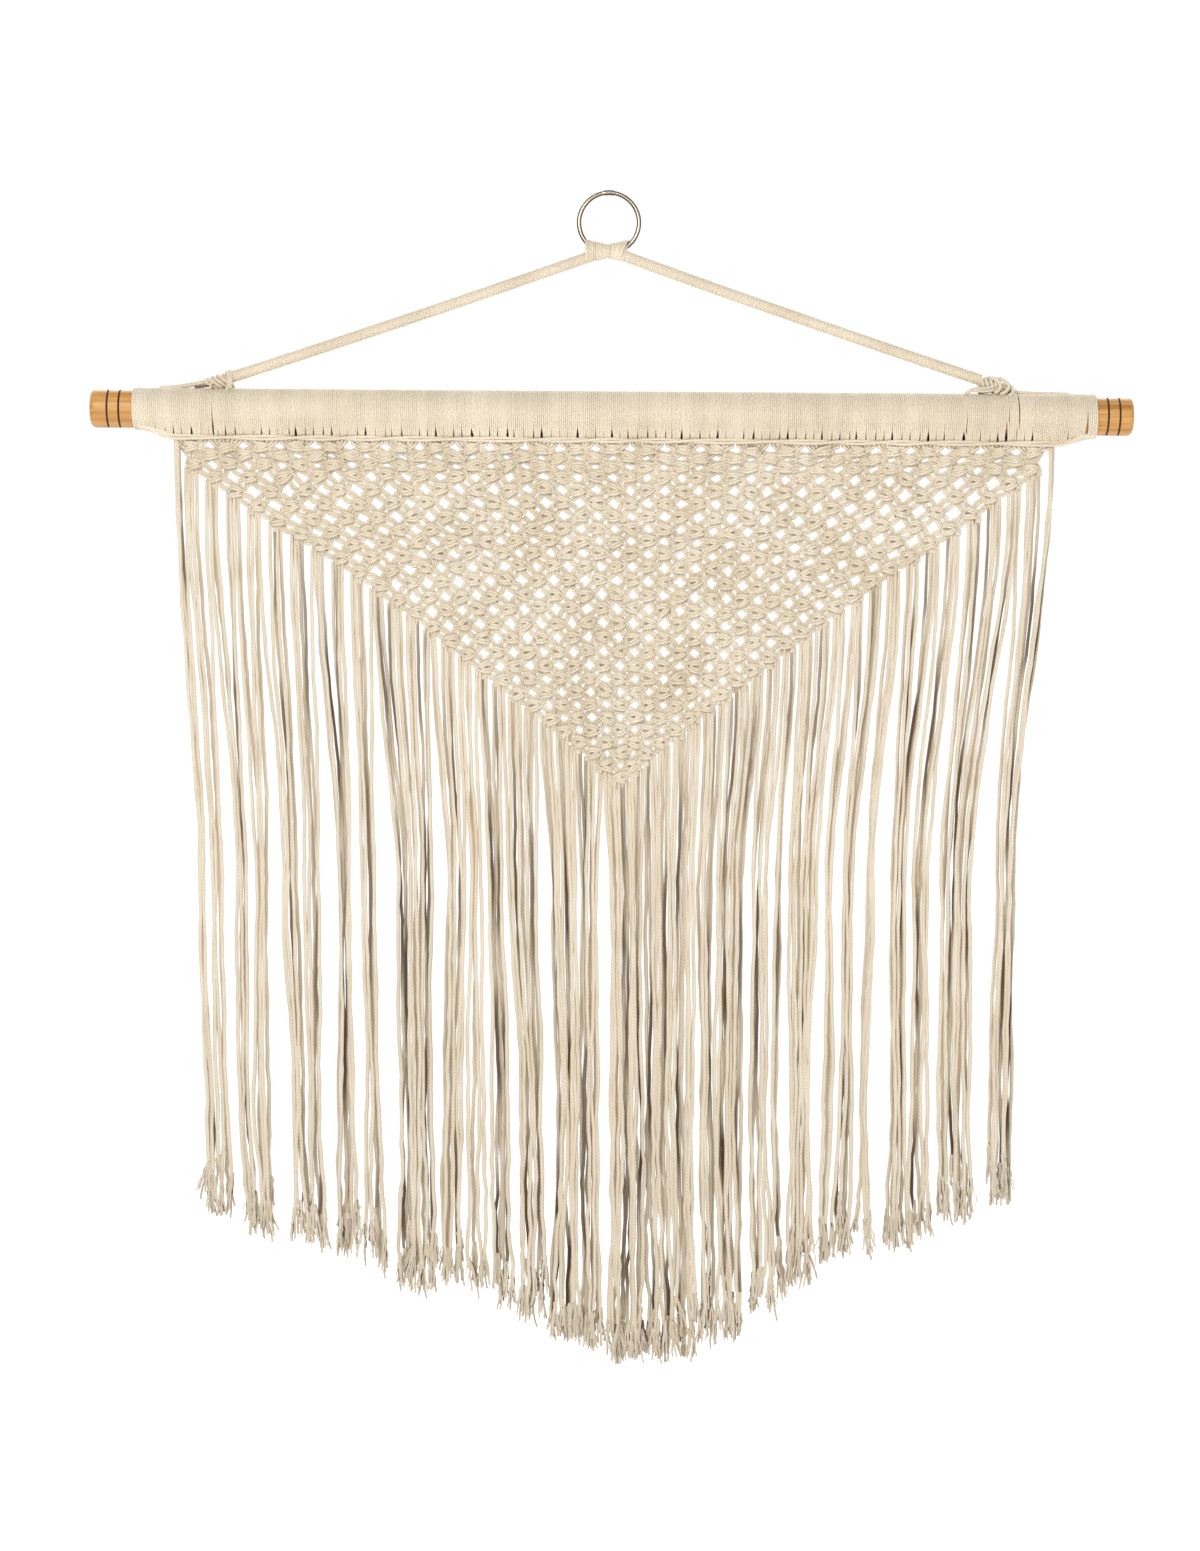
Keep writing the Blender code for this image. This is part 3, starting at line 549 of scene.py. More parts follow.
# Radius, place along the rod, and whether the band from there on is burnt.
end = ROD_LENGTH / 2
rod_end = [(radius, -end + depth, False) for radius, depth in END_FACE]
for i in range(END_STEPS + 1):
    bend = math.radians(90 * i / END_STEPS)
    rod_end.append((
        ROD_RADIUS - END_ROUNDING + END_ROUNDING * math.sin(bend),
        -end + END_DEPTH + END_ROUNDING * (1 - math.cos(bend)),
        False,
    ))
rod_profile = rod_end + groove(GROOVES[0]) + groove(GROOVES[1])
rod_profile += [(ROD_RADIUS, x, False) for x in range(-400, 401, 50)]
rod_profile += groove(GROOVES[2]) + groove(GROOVES[3])
rod_profile += [(radius, -x, False) for radius, x, _ in reversed(rod_end)]
rod_points, rod_faces, rod_burnt = [], [], []
for radius, x, _ in rod_profile:
    for k in range(ROD_SIDES):
        turn = math.tau * k / ROD_SIDES
        rod_points.append(ROD_AXES @ Vector((x, radius * math.cos(turn), radius * math.sin(turn))) * MM)
for i in range(len(rod_profile) - 1):
    for k in range(ROD_SIDES):
        a, b = i * ROD_SIDES + k, i * ROD_SIDES + (k + 1) % ROD_SIDES
        rod_faces.append((a, b, b + ROD_SIDES, a + ROD_SIDES))
        rod_burnt.append(1 if rod_profile[i][2] else 0)
rod_mesh = bpy.data.meshes.new("pine_rod")
rod_mesh.from_pydata(rod_points, [], rod_faces)
rod_mesh.materials.append(pine)
rod_mesh.materials.append(burnt)
rod_mesh.polygons.foreach_set("material_index", rod_burnt)
rod_mesh.shade_smooth()
rod_mesh.set_sharp_from_angle(angle=math.radians(35))
rod = add_object("pine_rod", rod_mesh)
hang(rod, "rod_wood", "dowel")

# ---------------------------------------------------------------- wrap
# One layer of cotton yarn, about 480 turns side by side, over the rod. Over the net's width each turn
# also goes round the holding line below. There they draw together in fours, with dark notches between.

WRAP_ENDS = (2.9 - 421, 2.9 + 421)  # along the rod, from its middle
WRAP_TURNS = 481
WRAP_TURN_POINTS = 20
WRAP_YARN = 2.0
WRAP_LAY_RADIUS = 17.7
WRAP_THICKENING = 1.0  # from the left end to the right, where the turns lie looser
WRAP_SLIP = 0.05  # of a turn along the rod, either way
WRAP_UNEVENNESS = 0.04  # of a turn's radius, either way
HOLDING_ENDS = (-414, 424)
HOLDING_DROP = 25.0  # from the rod's axis
HOLDING_RISE = (10.0, 31.0)  # at either end it rises so much over so long a stretch
FREE_DROP = 16  # where it is nearer the rod than this, no turn goes round it
# The low points of a turn where it goes round the holding line, by number: depth and height.
LOW_POINTS = {
    7: (-14.1, -9.8), 8: (-10.6, -15.0), 9: (-6.8, -20.8), 10: (-2.4, -25.4),
    11: (3.2, -25.4), 12: (8.6, -17.6), 13: (13.8, -10.6),
}
NOTCHED_POINTS = {8: 0.15, 9: 0.9, 10: 0.8}  # and how much of a notch's width shows at each
# Where turns have slipped apart: place along the rod, width of the gap at its widest, whether it
# runs up the whole front or only opens below.
PARTINGS = (
    (354.6, 1.3, True), (414.5, 3.6, False), (345.5, 2.6, False), (309.5, 1.6, False),
    (-348.9, 2.2, False),
)
PARTING_REACH = 7  # how far along the rod its neighbours give way
NOTCH_PITCH = 7.67  # four to each of the net's top knots, every fourth wider
NOTCH_START = -398.4
NOTCH_COUNT = 105
NOTCH_SHIFT = 0.9
NOTCH_WIDTHS = ((1.8, 3.6), (0.4, 1.9))  # of every fourth, and of the others
NOTCH_REACH = 2.2
NOTCH_LIMIT = 8  # further off than this a notch isn't felt


def unit(value):
    """The value, held between 0 and 1."""
    return min(1.0, max(0.0, value))


def holding_drop(x):
    """How far the holding line runs below the rod's axis."""
    edge = min(x - HOLDING_ENDS[0], HOLDING_ENDS[1] - x)
    return HOLDING_DROP - HOLDING_RISE[0] * unit(1 - edge / HOLDING_RISE[1])


def pushed(away, width, reach):
    """How far a gap of this width pushes a turn that lies this far away."""
    return math.copysign(width / 2 * math.exp(-abs(away) / reach), away)


chance = random.Random(5)
wrap_pitch = (WRAP_ENDS[1] - WRAP_ENDS[0]) / WRAP_TURNS
notches = []
for k in range(NOTCH_COUNT):
    place = NOTCH_START + k * NOTCH_PITCH + chance.uniform(-NOTCH_SHIFT, NOTCH_SHIFT)
    notches.append((place, chance.uniform(*NOTCH_WIDTHS[0 if k % 4 == 0 else 1])))
wrap_route = []
for k in range(WRAP_TURNS):
    slip = chance.uniform(-WRAP_SLIP, WRAP_SLIP)
    reach = WRAP_LAY_RADIUS + WRAP_THICKENING * k / WRAP_TURNS
    reach += chance.uniform(-WRAP_UNEVENNESS, WRAP_UNEVENNESS)
    for i in range(WRAP_TURN_POINTS):
        turn = math.tau * i / WRAP_TURN_POINTS
        x = WRAP_ENDS[0] + (k + i / WRAP_TURN_POINTS) * wrap_pitch + slip
        depth = -reach * math.sin(turn)
        level = reach * math.cos(turn)
        front = max(0.0, math.sin(turn))
        if i in LOW_POINTS:
            share = max(0.0, (holding_drop(x) - FREE_DROP) / (HOLDING_DROP - FREE_DROP))
            depth += (LOW_POINTS[i][0] - depth) * share
            level += (LOW_POINTS[i][1] - level) * share
            opened = NOTCHED_POINTS.get(i, 0.0) * share
            for place, width in notches:
                if abs(x - place) < NOTCH_LIMIT:
                    x += pushed(x - place, width * opened, NOTCH_REACH)
        # From just above the axis a low parting opens downwards.
        low = unit((10 - level) / 27)
        for place, width, whole in PARTINGS:
            share = front ** 0.5 if whole else front ** 0.3 * low ** 2
            x += pushed(x - place, width * share, PARTING_REACH)
        wrap_route.append((ROD_AXES @ Vector((x, depth, level)), 1.0, 0.0))
wrap = cords("yarn_wrap", [wrap_route], WRAP_YARN, wound_yarn)
hang(wrap, "wound_yarn", "rod_wrap")

# ---------------------------------------------------------------- hanger knots
# Where each leg meets the rod its cord is opened into strands, hitched round itself in slanting turns
# and tied down over the rod. Its thin tails lie along the top of the rod.

# Twisted cotton cord: three plies in a soft twist, cream, with warm shade in its furrows.
cotton_cord = cotton("twisted cotton cord", "#F1E4CE", "#E8D9BF", "#4E3418", 3, 9.0, 0.3)

HITCH_CORD = 2.7
HITCH_TURN_POINTS = 14
HITCH_CORE_GAP = 0.6  # from the core's skin to the middle of the turns
# Painted shade: the core under the turns is a little darker, to show as shade between them.
HITCH_CORE_SHADE = 0.15
# Foot end, leg end, turns, lean, and the turns' radius at even steps from foot to leg.
HITCHES = {
    "left": (
        Vector((-351.0, 0, -166.9)), Vector((-333.0, 0, -162.6)),
        4, -4.6, (4.2, 5.3, 5.9, 6.2, 6.3, 6.3, 6.2),
    ),
    "right": (
        Vector((352.5, 0, -171.9)), Vector((324.0, 0, -164.4)),
        7, 3.6, (1.8, 3.9, 5.3, 5.6, 5.2, 4.8, 4.3),
    ),
}
# Tails and crossing strands in mm: girth, tone and the points along each. The two with a high tone are
# dark strands laid in under the tails as painted shade.
TAILS = {
    "left": (
        (1.6, 0.0, (
            (-342, -3, -162.8), (-351, -2, -163.8), (-362, 1, -165.6), (-374, 4, -167.3),
            (-385, 6.5, -168.2), (-395, 7.5, -168.7),
        )),
        (0.95, 0.8, ((-344, -3, -167.2), (-350, -4, -167.7), (-356, -3, -168.4), (-363, -2, -169.0))),
        (0.9, 0.0, ((-346, -6, -164), (-348.5, -7.5, -167), (-348, -9.5, -171.4))),
        (1.2, 0.0, (
            (-336, 4, -157), (-335, 0, -155.2), (-333.6, -4.5, -157.5), (-333.0, -6.4, -163),
            (-333.4, -8, -169.0), (-334, -10.5, -171.5),
        )),
        (1.1, 0.0, (
            (-333, 4, -156.2), (-332.4, 0, -154.5), (-331.2, -4.2, -157), (-330.8, -5.8, -163),
            (-331.2, -7.4, -168.6), (-331.6, -9, -171.2),
        )),
    ),
    "right": (
        (1.2, 0.0, (
            (340, 0, -168.0), (346, -1, -170.4), (354, 0, -172.2), (366, 2.5, -173.4),
            (384, 4.5, -173.8), (404, 5.6, -174.2),
        )),
        (1.15, 0.0, (
            (338, -4, -168), (330, -6.5, -170.6), (322, -7.5, -171.0), (316, -8.6, -172.6),
            (311, -11, -176.4),
        )),
        (1.0, 0.0, ((342, -4, -170), (334, -7.5, -172.6), (325, -8.5, -173.4), (317, -8.5, -172.0))),
        (1.0, 0.85, ((333, -5, -173), (328, -6, -173.8), (323, -6.6, -174.0))),
        (1.35, 0.0, (
            (330, 3, -161.2), (334, 0, -160.4), (338, -5.6, -162.6), (342, -7.6, -167),
            (341, -9.4, -171.8), (337, -10.8, -174.8),
        )),
        (1.3, 0.0, (
            (338, 3, -162.0), (343, 0, -161.2), (347, -5.6, -164.6), (350, -7.0, -168.6),
            (347, -8.6, -173.4), (342, -10.4, -176.2),
        )),
        (1.2, 0.0, (
            (348, 2, -167.4), (351, -3, -167.6), (353.6, -6.0, -171.6), (352.5, -7.8, -175.4),
            (349, -9.6, -177.6),
        )),
    ),
}

for side, (foot, top, turns, lean, radii) in HITCHES.items():
    at = axis_between(foot, top)
    hitch_steps = len(radii) - 1

    def hitch_radius(part):
        step = min(int(part * hitch_steps), hitch_steps - 1)
        return radii[step] + (radii[step + 1] - radii[step]) * (part * hitch_steps - step)

    hitch = winding(at, hitch_radius, turns, HITCH_TURN_POINTS, lean)
    core = []
    for i, radius in enumerate(radii):
        girth = 2 * (radius - HITCH_CORE_GAP) / HITCH_CORD
        core.append((at(i / hitch_steps)[0], girth, HITCH_CORE_SHADE))
    tails = [[(Vector(point), girth, tone) for point in points] for girth, tone, points in TAILS[side]]
    knot = cords("hitch_" + side, [core, hitch] + tails, HITCH_CORD, cotton_cord, sides=7, steps=2)
    hang(knot, "cotton_cord", "hanger_knot_" + side)

# ---------------------------------------------------------------- holding cord
# A doubled cotton cord under the rod. It carries the net's loops, and the wrap's turns hold it up. Its
# two strands lie side by side and pass over each other now and then.

HOLDING_STRAND = 2.6
HOLDING_FORWARD = 6.3  # it lies in front of the wrap's low turns
HOLDING_SWING = (1.35, 0.9)  # of either strand from their middle, up and down and in depth
HOLDING_LAY = 105  # mm for one turn of the two about each other
HOLDING_STEPS = 140

holding_routes = []
for strand in (0, 1):
    route = []
    for i in range(HOLDING_STEPS + 1):
        x = HOLDING_ENDS[0] + (HOLDING_ENDS[1] - HOLDING_ENDS[0]) * i / HOLDING_STEPS
        slack = (HOLDING_DROP - holding_drop(x)) / HOLDING_RISE[0]
        fullness = 1 + 0.5 * min(1, 3 * slack)
        lay = math.tau * x / HOLDING_LAY + math.pi * strand + 0.8 * math.sin(x / 37)
        level = -holding_drop(x) + HOLDING_SWING[0] * fullness * math.cos(lay)
        depth = -HOLDING_FORWARD + HOLDING_SWING[1] * math.sin(lay)
        route.append((ROD_AXES @ Vector((x, depth, level)), fullness, 0.0))
    holding_routes.append(route)
holding = cords("doubled_cord", holding_routes, HOLDING_STRAND, cotton_cord, sides=8)
hang(holding, "cotton_cord", "holding_cord")

# ---------------------------------------------------------------- net
# 374 square knots in 27 rows, each of four doubled cords: two go straight through, one crosses in front
# and one behind. Each knot takes two doubled cords from either knot above, so the rows alternate.

# How far below the hanging point each row of knots lies, in mm. The first rows are pulled tight.
ROW_DROPS = (
    223.5, 230.8, 238.7, 247.4, 258.8, 270.2, 281.9, 293.1, 303.6, 314.4, 325.8, 338.1, 350.9, 362.6,
    375.9, 387.9, 400.1, 412.8, 424.0, 436.0, 446.8, 458.4, 469.3, 479.9, 489.7, 500.3, 512.0,
)
KNOTS_IN_ROW = (25, 24, *range(25, 0, -1))
FULL_ROW = 3  # the last with all 25 knots; from here each row has one less
COLUMN_PITCH = (30.5, 0.12, 0.010)  # in the full row, and how it shrinks with the rows below
NET_MIDDLE = (3.0, 9.9, 17)  # X at the full row and at the end, which it reaches in so many rows
# Half-way down, how much narrower the pitch is and how far the rows slope to the right; over how many
# rows that comes and goes, and how sharply.
NET_SLACK = (0.033, 0.014, 18, 1.6)
# How far a row's ends hang below its middle, for each square mm of the distance, and in how many rows
# that sets in.
NET_DROOP = (0.000194, 9)
NET_STRAND = 3.3
PAIR_SPREAD = 1.15  # from the middle of a doubled cord to either of its strands
LOOP_SPREAD = 1.75  # the same where it loops over the holding line
ARM_SPREAD = 3.55  # from the line between two knots to either of its doubled cords
LOOP_PLACES = (-11.5, -3.8, 3.8, 11.5)  # of the loops, from a top knot's middle
LOOP_SHIFT = 0.6
# A loop's way over the holding line: depth and height from the line.
LOOP_WAY = ((2.6, -3.0), (4.2, -0.4), (2.6, 1.8), (-1.4, 1.8), (-3.2, -0.4), (-3.0, -2.6))
# A doubled cord's way through a knot in mm, from the knot's middle: across, depth, height.
FRONT_WAY = (
    (-6.4, 0.2, 1.6), (-3.8, -2.9, 3.7), (0.6, -4.4, 2.5), (4.3, -3.2, 1.2), (5.8, -0.9, 0.0),
    (4.2, -3.2, -1.3), (0.4, -4.4, -2.6), (-3.8, -2.9, -3.7), (-6.4, 0.2, -1.6),
)
BACK_WAY = (
    (6.8, -2.0, 1.6), (5.2, 1.8, 2.2), (0.6, 3.9, 2.1), (-4.4, 1.4, 1.5), (-5.8, -2.6, 0.0),
    (-4.2, 1.4, -1.5), (0.6, 3.9, -2.1), (5.2, 1.8, -2.3), (6.8, -2.0, -1.6),
)
LEFT_WAY = ((-1.7, 0.2, 5.3), (-1.7, -0.4, 0.0), (-1.7, 0.2, -5.3))
RIGHT_WAY = ((1.7, 0.2, 5.3), (1.7, -0.4, 0.0), (1.7, 0.2, -5.3))
WAYS = (FRONT_WAY, LEFT_WAY, RIGHT_WAY, BACK_WAY)
# How each knot differs: its drift sideways, in depth and in height, and its turn.
KNOT_DRIFT = (0.55, 0.5, 0.45)
KNOT_TURN = 0.17
KNOT_SIZES = (0.94, 1.08)
KNOT_NARROWING = 0.006  # with each row below the full one
KNOT_HEIGHTS = {1: 0.68, 2: 0.72, 3: 0.8, 4: 0.92}  # of the rows that are pulled tight
MIRRORED_KNOTS = 0.25  # the share that is tied the other way round
CORD_DRIFT = (0.25, 0.2, 0.25)
ARM_DRIFT = (0.35, 1.2)  # between knots, sideways and in depth
ARM_DROP = 10.5  # between nearer rows, neighbouring cords lie nearer too
STRAND_DRIFT = (-0.4, 0.5)
STRAND_UNEVENNESS = 0.06


def rod_line(x):
    """The height of the holding line at X, where the rod's tilt puts it."""
    return ROD_CENTRE.z - HOLDING_DROP - (x - ROD_CENTRE.x) * math.tan(ROD_TILT)


def net_point(row, column):
    """The middle of a knot in mm. Rows count from 1 at the rod, columns from 0 at the left."""
    down = row - FULL_ROW
    pitch = COLUMN_PITCH[0] - COLUMN_PITCH[1] * down - COLUMN_PITCH[2] * down * abs(down)
    middle = NET_MIDDLE[0] + (NET_MIDDLE[1] - NET_MIDDLE[0]) * unit(down / NET_MIDDLE[2])
    slack = math.sin(math.pi * unit(down / NET_SLACK[2])) ** NET_SLACK[3]
    x = middle + (column - (KNOTS_IN_ROW[row - 1] - 1) / 2) * pitch * (1 - NET_SLACK[0] * slack)
    slope = (1 - (row - 1) / (len(ROW_DROPS) - 1)) * math.tan(ROD_TILT) + NET_SLACK[1] * slack
    droop = NET_DROOP[0] * (x - middle) ** 2 * unit(down / NET_DROOP[1])
    return Vector((x, 0, -ROW_DROPS[row - 1] - (x - ROD_CENTRE.x) * slope - droop))


def next_knot(row, column, slot):
    """The knot and slot that a doubled cord goes to from this one, or None where it leaves the net."""
    if row == len(ROW_DROPS):
        return None
    below = KNOTS_IN_ROW[row]
    next_column = column + (below > KNOTS_IN_ROW[row - 1]) - (slot < 2)
    if 0 <= next_column < below:
        return row + 1, next_column, (slot + 2) % 4
    # The second row is one knot short, so at its ends the outer cords go straight to the third.
    return (FULL_ROW, column, slot) if row == 1 else None


def tied_knot(row, column):
    """Where each of a knot's four doubled cords passes."""
    aside, deep, high = KNOT_DRIFT
    middle = net_point(row, column)
    middle += Vector((chance.gauss(0, aside), chance.uniform(-deep, deep), chance.gauss(0, high)))
    tilt = Matrix.Rotation(chance.gauss(0, KNOT_TURN), 3, "Y")
    size = chance.uniform(*KNOT_SIZES)
    narrowed = 1.0 - KNOT_NARROWING * max(0, row - FULL_ROW)
    squashed = KNOT_HEIGHTS.get(row, 1.0)
    mirrored = chance.random() < MIRRORED_KNOTS
    ways = []
    for slot in range(4):
        way = WAYS[3 - slot] if mirrored else WAYS[slot]
        places = []
        for across, depth, height in way:
            across = -across if mirrored else across
            shake = Vector([chance.gauss(0, drift) for drift in CORD_DRIFT])
            shape = Vector((across * narrowed, depth, height * squashed))
            places.append(middle + tilt @ (shape * size + shake))
        ways.append(places)
    return ways


def doubled(places, loop_points):
    """The two strands of a doubled cord, side by side from the front, and wider in its loop."""
    strands = ([], [])
    sideways = Vector((1, 0, 0))
    for i, place in enumerate(places):
        run = places[min(i + 1, len(places) - 1)] - places[max(i - 1, 0)]
        across = Vector((-run.z, 0, run.x))
        if across.length > 0.8:
            across.normalize()
            sideways = -across if across.dot(sideways) < -0.2 else across
        for strand, sign in zip(strands, (-1, 1)):
            spread = LOOP_SPREAD if i < loop_points else PAIR_SPREAD
            offset = sideways * (sign * spread) + Vector((0, sign * chance.uniform(*STRAND_DRIFT), 0))
            girth = 1.0 + chance.uniform(-STRAND_UNEVENNESS, STRAND_UNEVENNESS)
            strand.append((place + offset, girth, 0.0))
    return strands


chance = random.Random(26)
knots = {}
for row, count in enumerate(KNOTS_IN_ROW, 1):
    for column in range(count):
        knots[row, column] = tied_knot(row, column)

net_routes = []
for first_column in range(KNOTS_IN_ROW[0]):
    for first_slot in range(4):
        row, column, slot = 1, first_column, first_slot
        loop_x = net_point(1, column).x + LOOP_PLACES[slot] + chance.uniform(-LOOP_SHIFT, LOOP_SHIFT)
        places = [Vector((loop_x, depth, rod_line(loop_x) + rise)) for depth, rise in LOOP_WAY]
        while True:
            places += knots[row, column][slot]
            following = next_knot(row, column, slot)
            if not following:
                places.append(places[-1] + Vector((0, 0, -5)))
                break
            start, target = net_point(row, column), net_point(*following[:2])
            line = (target - start).normalized()
            sideways = Vector((-line.z, 0, line.x))
            sideways = sideways if sideways.x > 0 else -sideways
            side = -1 if slot in (0, 2) else 1
            spread = ARM_SPREAD * min(1.0, (start.z - target.z) / ARM_DROP)
            away = side * (spread + chance.gauss(0, ARM_DRIFT[0]))
            depth = chance.uniform(-ARM_DRIFT[1], ARM_DRIFT[1])
            places.append((start + target) / 2 + sideways * away + Vector((0, depth, 0)))
            row, column, slot = following
        net_routes += doubled(places, len(LOOP_WAY))
net = cords("knotted_net", net_routes, NET_STRAND, cotton_cord, sides=4)
hang(net, "cotton_cord", "macrame_net")

# ---------------------------------------------------------------- fringe
# The strands' free ends: four from each knot at the net's slanting edges and four from the holding line
# at either corner, 104 a side. They gather into uneven clusters, get wavy low down and end frayed.

# Clusters from left to right: from X to X at GATHER_DROP, at LOW_DROP and at the tips, and the tips'
# drop. Drops are in mm below the hanging point.
CLUSTERS = (
    (-359, -355, -352, -347, -352, -347, 886),
    (-348, -339, -344, -333, -344, -327, 892),
    (-326, -318, -325, -315, -315, -307, 904),
    (-310, -300, -311, -299, -304, -294, 908),
    (-285, -273, -277, -267, -274, -263, 915),
    (-267, -252, -264, -252, -261, -247, 918),
    (-237, -226, -237, -224, -239, -218, 925),
    (-216, -205, -212, -201, -213, -194, 936),
    (-186, -155, -183, -155, -183, -151, 954),
    (-143, -125, -146, -129, -146, -128, 950),
    (-122, -112, -124, -108, -125, -106, 956),
    (-105, -93, -103, -87, -103, -82, 974),
    (-88, -62, -77, -58, -79, -55, 982),
    (-51, -28, -46, -27, -52, -27, 1000),
    (-25, -9, -25, -10, -25, -5, 1006),
    (1, 29, 2, 30, -2, 31, 1019),
    (32, 75, 32, 74, 34, 77, 1012),
    (79, 90, 80, 90, 80, 93, 1000),
    (94, 118, 92, 116, 96, 116, 996),
    (125, 139, 124, 138, 122, 143, 974),
    (146, 150, 142, 148, 145, 150, 965),
    (157, 182, 159, 175, 156, 176, 952),
    (191, 195, 188, 196, 183, 190, 932),
    (206, 213, 201, 213, 194, 209, 928),
    (226, 232, 220, 226, 218, 229, 921),
    (248, 259, 247, 260, 243, 260, 919),
    (266, 280, 263, 280, 262, 282, 915),
    (290, 318, 288, 316, 286, 318, 896),
    (340, 356, 333, 353, 330, 353, 879),
)
GATHER_DROP = 610
LOW_DROP = 812
DRAW_IN = {"left": 0.950, "right": 0.915}  # how a strand's cluster lies nearer the middle
FRINGE_STRAND = 3.3
FRINGE_STEP = 15
ROOT_OFFSETS = (-7.8, -5.0, -1.9, 0.9)  # of a knot's four ends from its middle, outer first
ROOT_SHIFT = (0.6, 2)  # sideways and in depth
ROOT_DROP = 2.5
CORNER_ROOTS = (-378.5, 388.0)  # X where the corner strands leave the holding line
CORNER_PITCH = 0.9
# The layers that strands lie in: depth and range of tone, which is painted shade. The second lies
# between the others and is painted dark, as the shade there.
# Each four neighbours take the four in an order of their own.
LAYERS = ((-3.6, (0.0, 0.06)), (0.0, (0.75, 0.95)), (-3.0, (0.0, 0.12)), (3.6, (0.06, 0.24)))
SHADED = 1
SHADED_GIRTH = 0.85
SHADE_LENGTHS = (120, 380)  # over which a strand's tone comes and goes
WAVES = ((190, 330, 0.75), (70, 130, 0.45), (28, 48, 0.28))  # length from and to, and swing
KINK_LENGTHS = (17, 27)
DEPTH_SWING = 0.8
ANY_PHASE = (0, 6.3)
# What sets in on the way down: at what drop, over what length, and how much it adds.
LOOSENING = (700, 250, 0.8)
KINKING = (760, 160, 0.7)
THICKENING = (600, 250, 0.12)
# The strands grow darker towards their ends.
LOW_DARKENING = (620, 300, 0.08)
# How short of its cluster's tips a strand ends: four in five a little, the others more.
SHORTFALLS = ((0, 12), (12, 34))
FIRST_DROP = 8  # from where a strand leaves its knot to its first free point
FRAY_LENGTH = 14  # the last of a strand's drop, which its frayed end takes up
LEANING_TIPS = (0.3, 0.25)  # their share, and how far they lean either way
# The frayed ends: plies of the cord, darker ones among them, fine fibres, and ones behind painted dark
# as shade. Each kind has its number to an end, girth, tone, depth, length, and how far its way turns at
# each point.
FRAYED = (
    (3, 0.62, (0.08, 0.2), -2.0, (24, 34), 0.2),
    (2, 0.62, (0.2, 0.42), 1.0, (24, 38), 0.2),
    (1, 0.3, (0.0, 0.1), -2.5, (18, 30), 0.6),
    (1, 0.55, (0.8, 0.95), 0.5, (16, 24), 0.2),
)
FRAYED_POINTS = 7
FRAY_OVERLAP = 9
FIBRE_LEAN = 0.14


def blend(a, b, part):
    return a + (b - a) * unit(part)


def eased(a, b, part):
    """From a to b, softly at both ends."""
    return blend(a, b, part * part * (3 - 2 * part))


def added(down, change):
    """What a change has added at this drop."""
    start, length, amount = change
    return amount * unit((down - start) / length)


def fringe_ends():
    """Every strand from left to right: its side, where it leaves its knot, and its cluster."""
    ends = []
    for side, corner_x in zip(("left", "right"), CORNER_ROOTS):
        roots = []
        for number in range(4):
            x = corner_x + (number - 1.5) * CORNER_PITCH
            roots.append(Vector((x, (number % 2) * 3.0 - 2.6, rod_line(x) - 1.5)))
        for row in range(FULL_ROW, len(ROW_DROPS) + 1):
            knot = net_point(row, 0 if side == "left" else KNOTS_IN_ROW[row - 1] - 1)
            for offset in ROOT_OFFSETS:
                across = offset if side == "left" else -offset
                across += chance.uniform(-ROOT_SHIFT[0], ROOT_SHIFT[0])
                depth = chance.uniform(-ROOT_SHIFT[1], ROOT_SHIFT[1])
                roots.append(knot + Vector((across, depth, -ROOT_DROP)))
        for root in sorted(roots, key=lambda place: place.x):
            plumb = NET_MIDDLE[1] + (root.x - NET_MIDDLE[1]) * DRAW_IN[side]
            away = [max(low - plumb, plumb - high, 0) for low, high, *_ in CLUSTERS]
            ends.append((side, root, away.index(min(away))))
    return ends


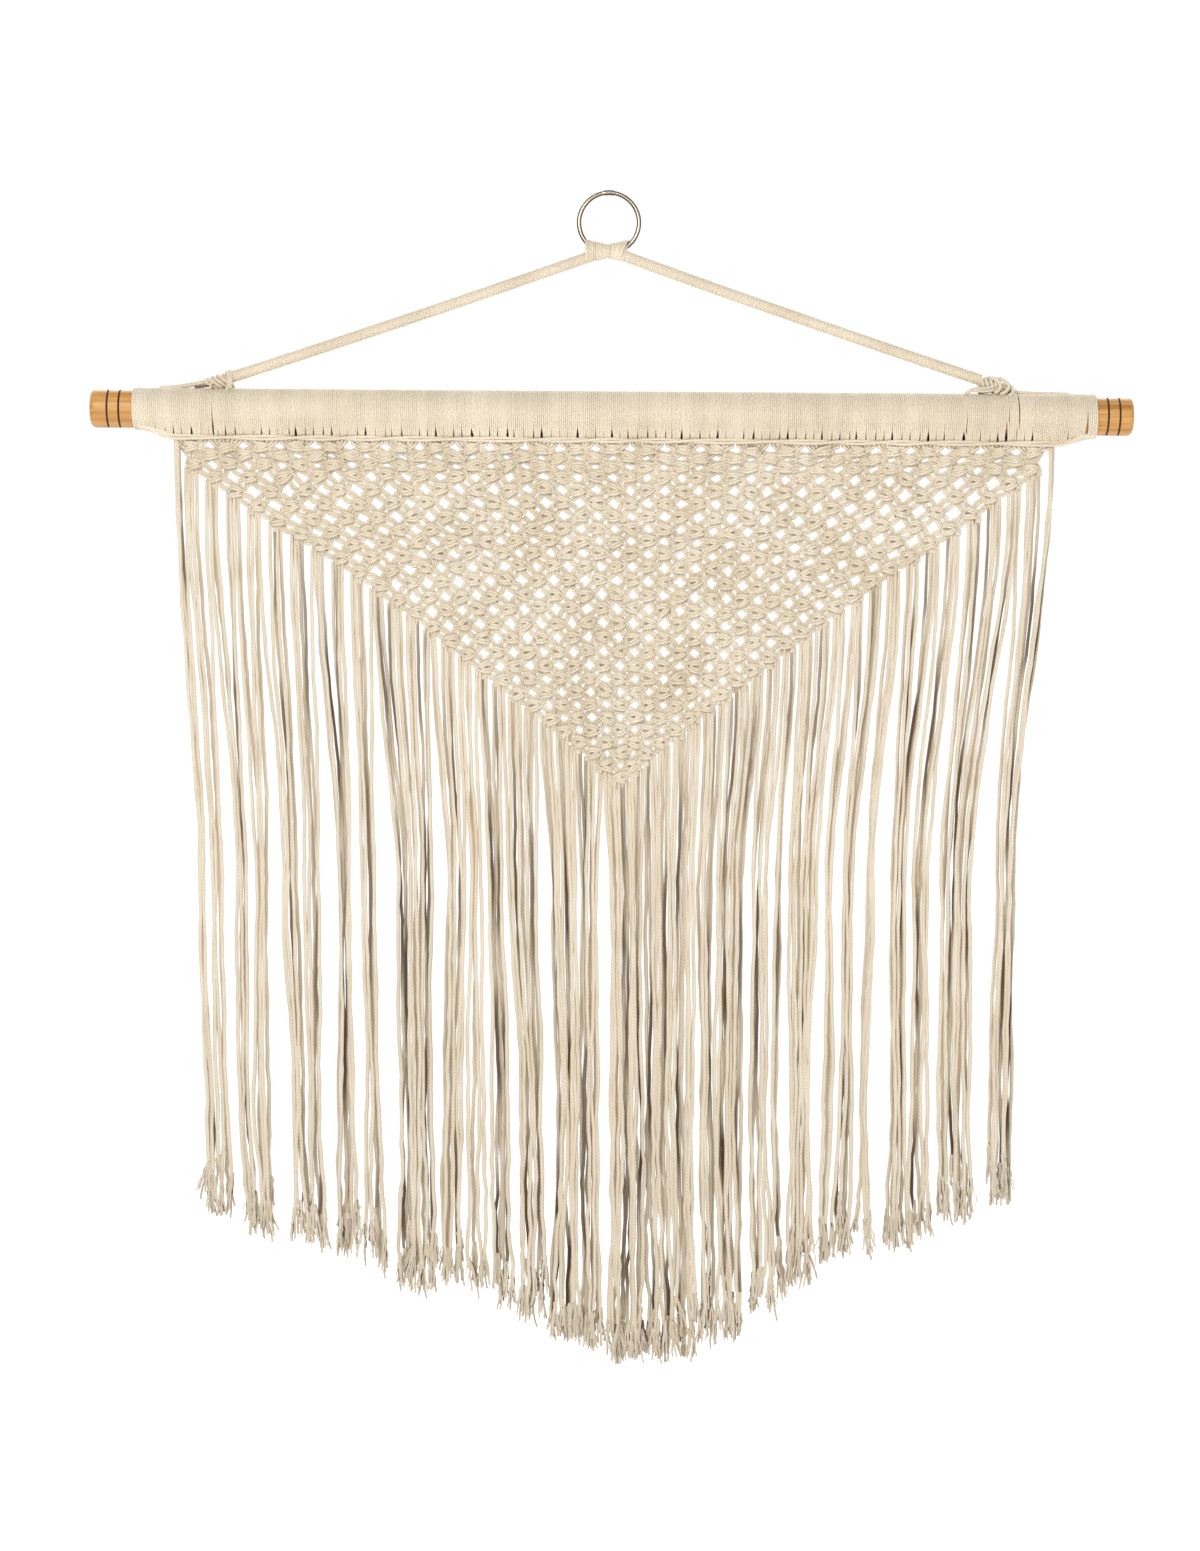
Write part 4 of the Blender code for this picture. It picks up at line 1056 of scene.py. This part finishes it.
def strand_route(root, cluster, rank, count, layer):
    """A strand from its knot down to its end, one of the count strands of its cluster."""
    *stretches, drop = CLUSTERS[cluster]
    stations = []
    for low, high in zip(stretches[::2], stretches[1::2]):
        across = unit((rank + 0.5 + chance.gauss(0, 0.2)) / count)
        stations.append(low + (high - low) * across)
    shortfall = chance.uniform(*SHORTFALLS[0 if chance.random() < 0.8 else 1])
    waves = [(chance.uniform(*lengths), chance.uniform(*ANY_PHASE), swing) for *lengths, swing in WAVES]
    kink_length, kink_phase = chance.uniform(*KINK_LENGTHS), chance.uniform(*ANY_PHASE)
    phase = chance.uniform(*ANY_PHASE)
    shade_length = chance.uniform(*SHADE_LENGTHS)
    if layer == SHADED and not 0 < rank < count - 1:
        layer = 0
    layer_depth, tones = LAYERS[layer]
    tone = chance.uniform(*tones)
    # A strand starts with a little painted shade at its knot.
    route = [(root, 0.9, 0.1)]
    first_down = -root.z + FIRST_DROP
    free_length = drop - shortfall - FRAY_LENGTH - first_down
    steps = max(8, round(free_length / FRINGE_STEP))
    for i in range(steps + 1):
        down = first_down + free_length * i / steps
        if down < GATHER_DROP:
            x = eased(root.x, stations[0], (down + root.z) / (GATHER_DROP + root.z))
        elif down < LOW_DROP:
            part = (down - GATHER_DROP) / (LOW_DROP - GATHER_DROP)
            x = eased(stations[0], stations[1], part)
        else:
            x = blend(stations[1], stations[2], (down - LOW_DROP) / (drop - LOW_DROP))
        free = unit((down + root.z) / 60)
        loose = 1 + added(down, LOOSENING)
        for length, start, swing in waves:
            x += free * loose * swing * math.sin(math.tau * down / length + start)
        x += added(down, KINKING) * math.sin(math.tau * down / kink_length + kink_phase)
        depth = layer_depth + DEPTH_SWING * math.sin(math.tau * down / 160 + phase)
        y = root.y * (1 - free) + free * depth
        girth = (SHADED_GIRTH if layer == SHADED else 1.0) * (1 + added(down, THICKENING))
        girth += 0.07 * math.sin(down / 9 + phase)
        # Painted shade: a strand's tone comes and goes along it over SHADE_LENGTHS, and is lighter
        # within 120 mm of its knot.
        shade = tone * blend(0.3, 1.0, 0.7 + math.sin(math.tau * down / shade_length + phase))
        shade *= blend(0.6, 1.0, (down + root.z) / 120)
        route.append((Vector((x, y, -down)), girth, shade + added(down, LOW_DARKENING)))
    route[-1] = (route[-1][0], 0.7, tone)
    return route


def frayed_end(end):
    """The fibres that a strand's end comes apart in."""
    routes = []
    share, most = LEANING_TIPS
    lean = chance.uniform(-most, most) if chance.random() < share else 0.0
    for number_of, girth, tones, depth, lengths, bends in FRAYED:
        for _ in range(number_of):
            shade = chance.uniform(*tones)
            heading = lean + chance.uniform(-FIBRE_LEAN, FIBRE_LEAN)
            step = chance.uniform(*lengths) / (FRAYED_POINTS - 1)
            place = end + Vector((chance.uniform(-1.1, 1.1), chance.uniform(-0.6, 0.6), FRAY_OVERLAP))
            fibre = []
            for i in range(FRAYED_POINTS):
                fibre.append((place.copy(), girth * (1.1 - 0.05 * i), shade))
                turn = heading + chance.uniform(-bends, bends)
                place += Vector((step * math.sin(turn), depth / FRAYED_POINTS, -step * math.cos(turn)))
            routes.append(fibre)
    return routes


chance = random.Random(208)
ends = fringe_ends()
fringe_routes = {"left": [], "right": []}
for number, (side, root, cluster) in enumerate(ends):
    if number % 4 == 0:
        order = chance.sample(range(4), 4)
    members = [i for i, strand in enumerate(ends) if strand[2] == cluster]
    rank = number - members[0]
    strand = strand_route(root, cluster, rank, len(members), order[number % 4])
    fringe_routes[side] += [strand] + frayed_end(strand[-1][0])
for side, routes in fringe_routes.items():
    fringe = cords("strands_" + side, routes, FRINGE_STRAND, cotton_cord)
    hang(fringe, "cotton_cord", "fringe_" + side)
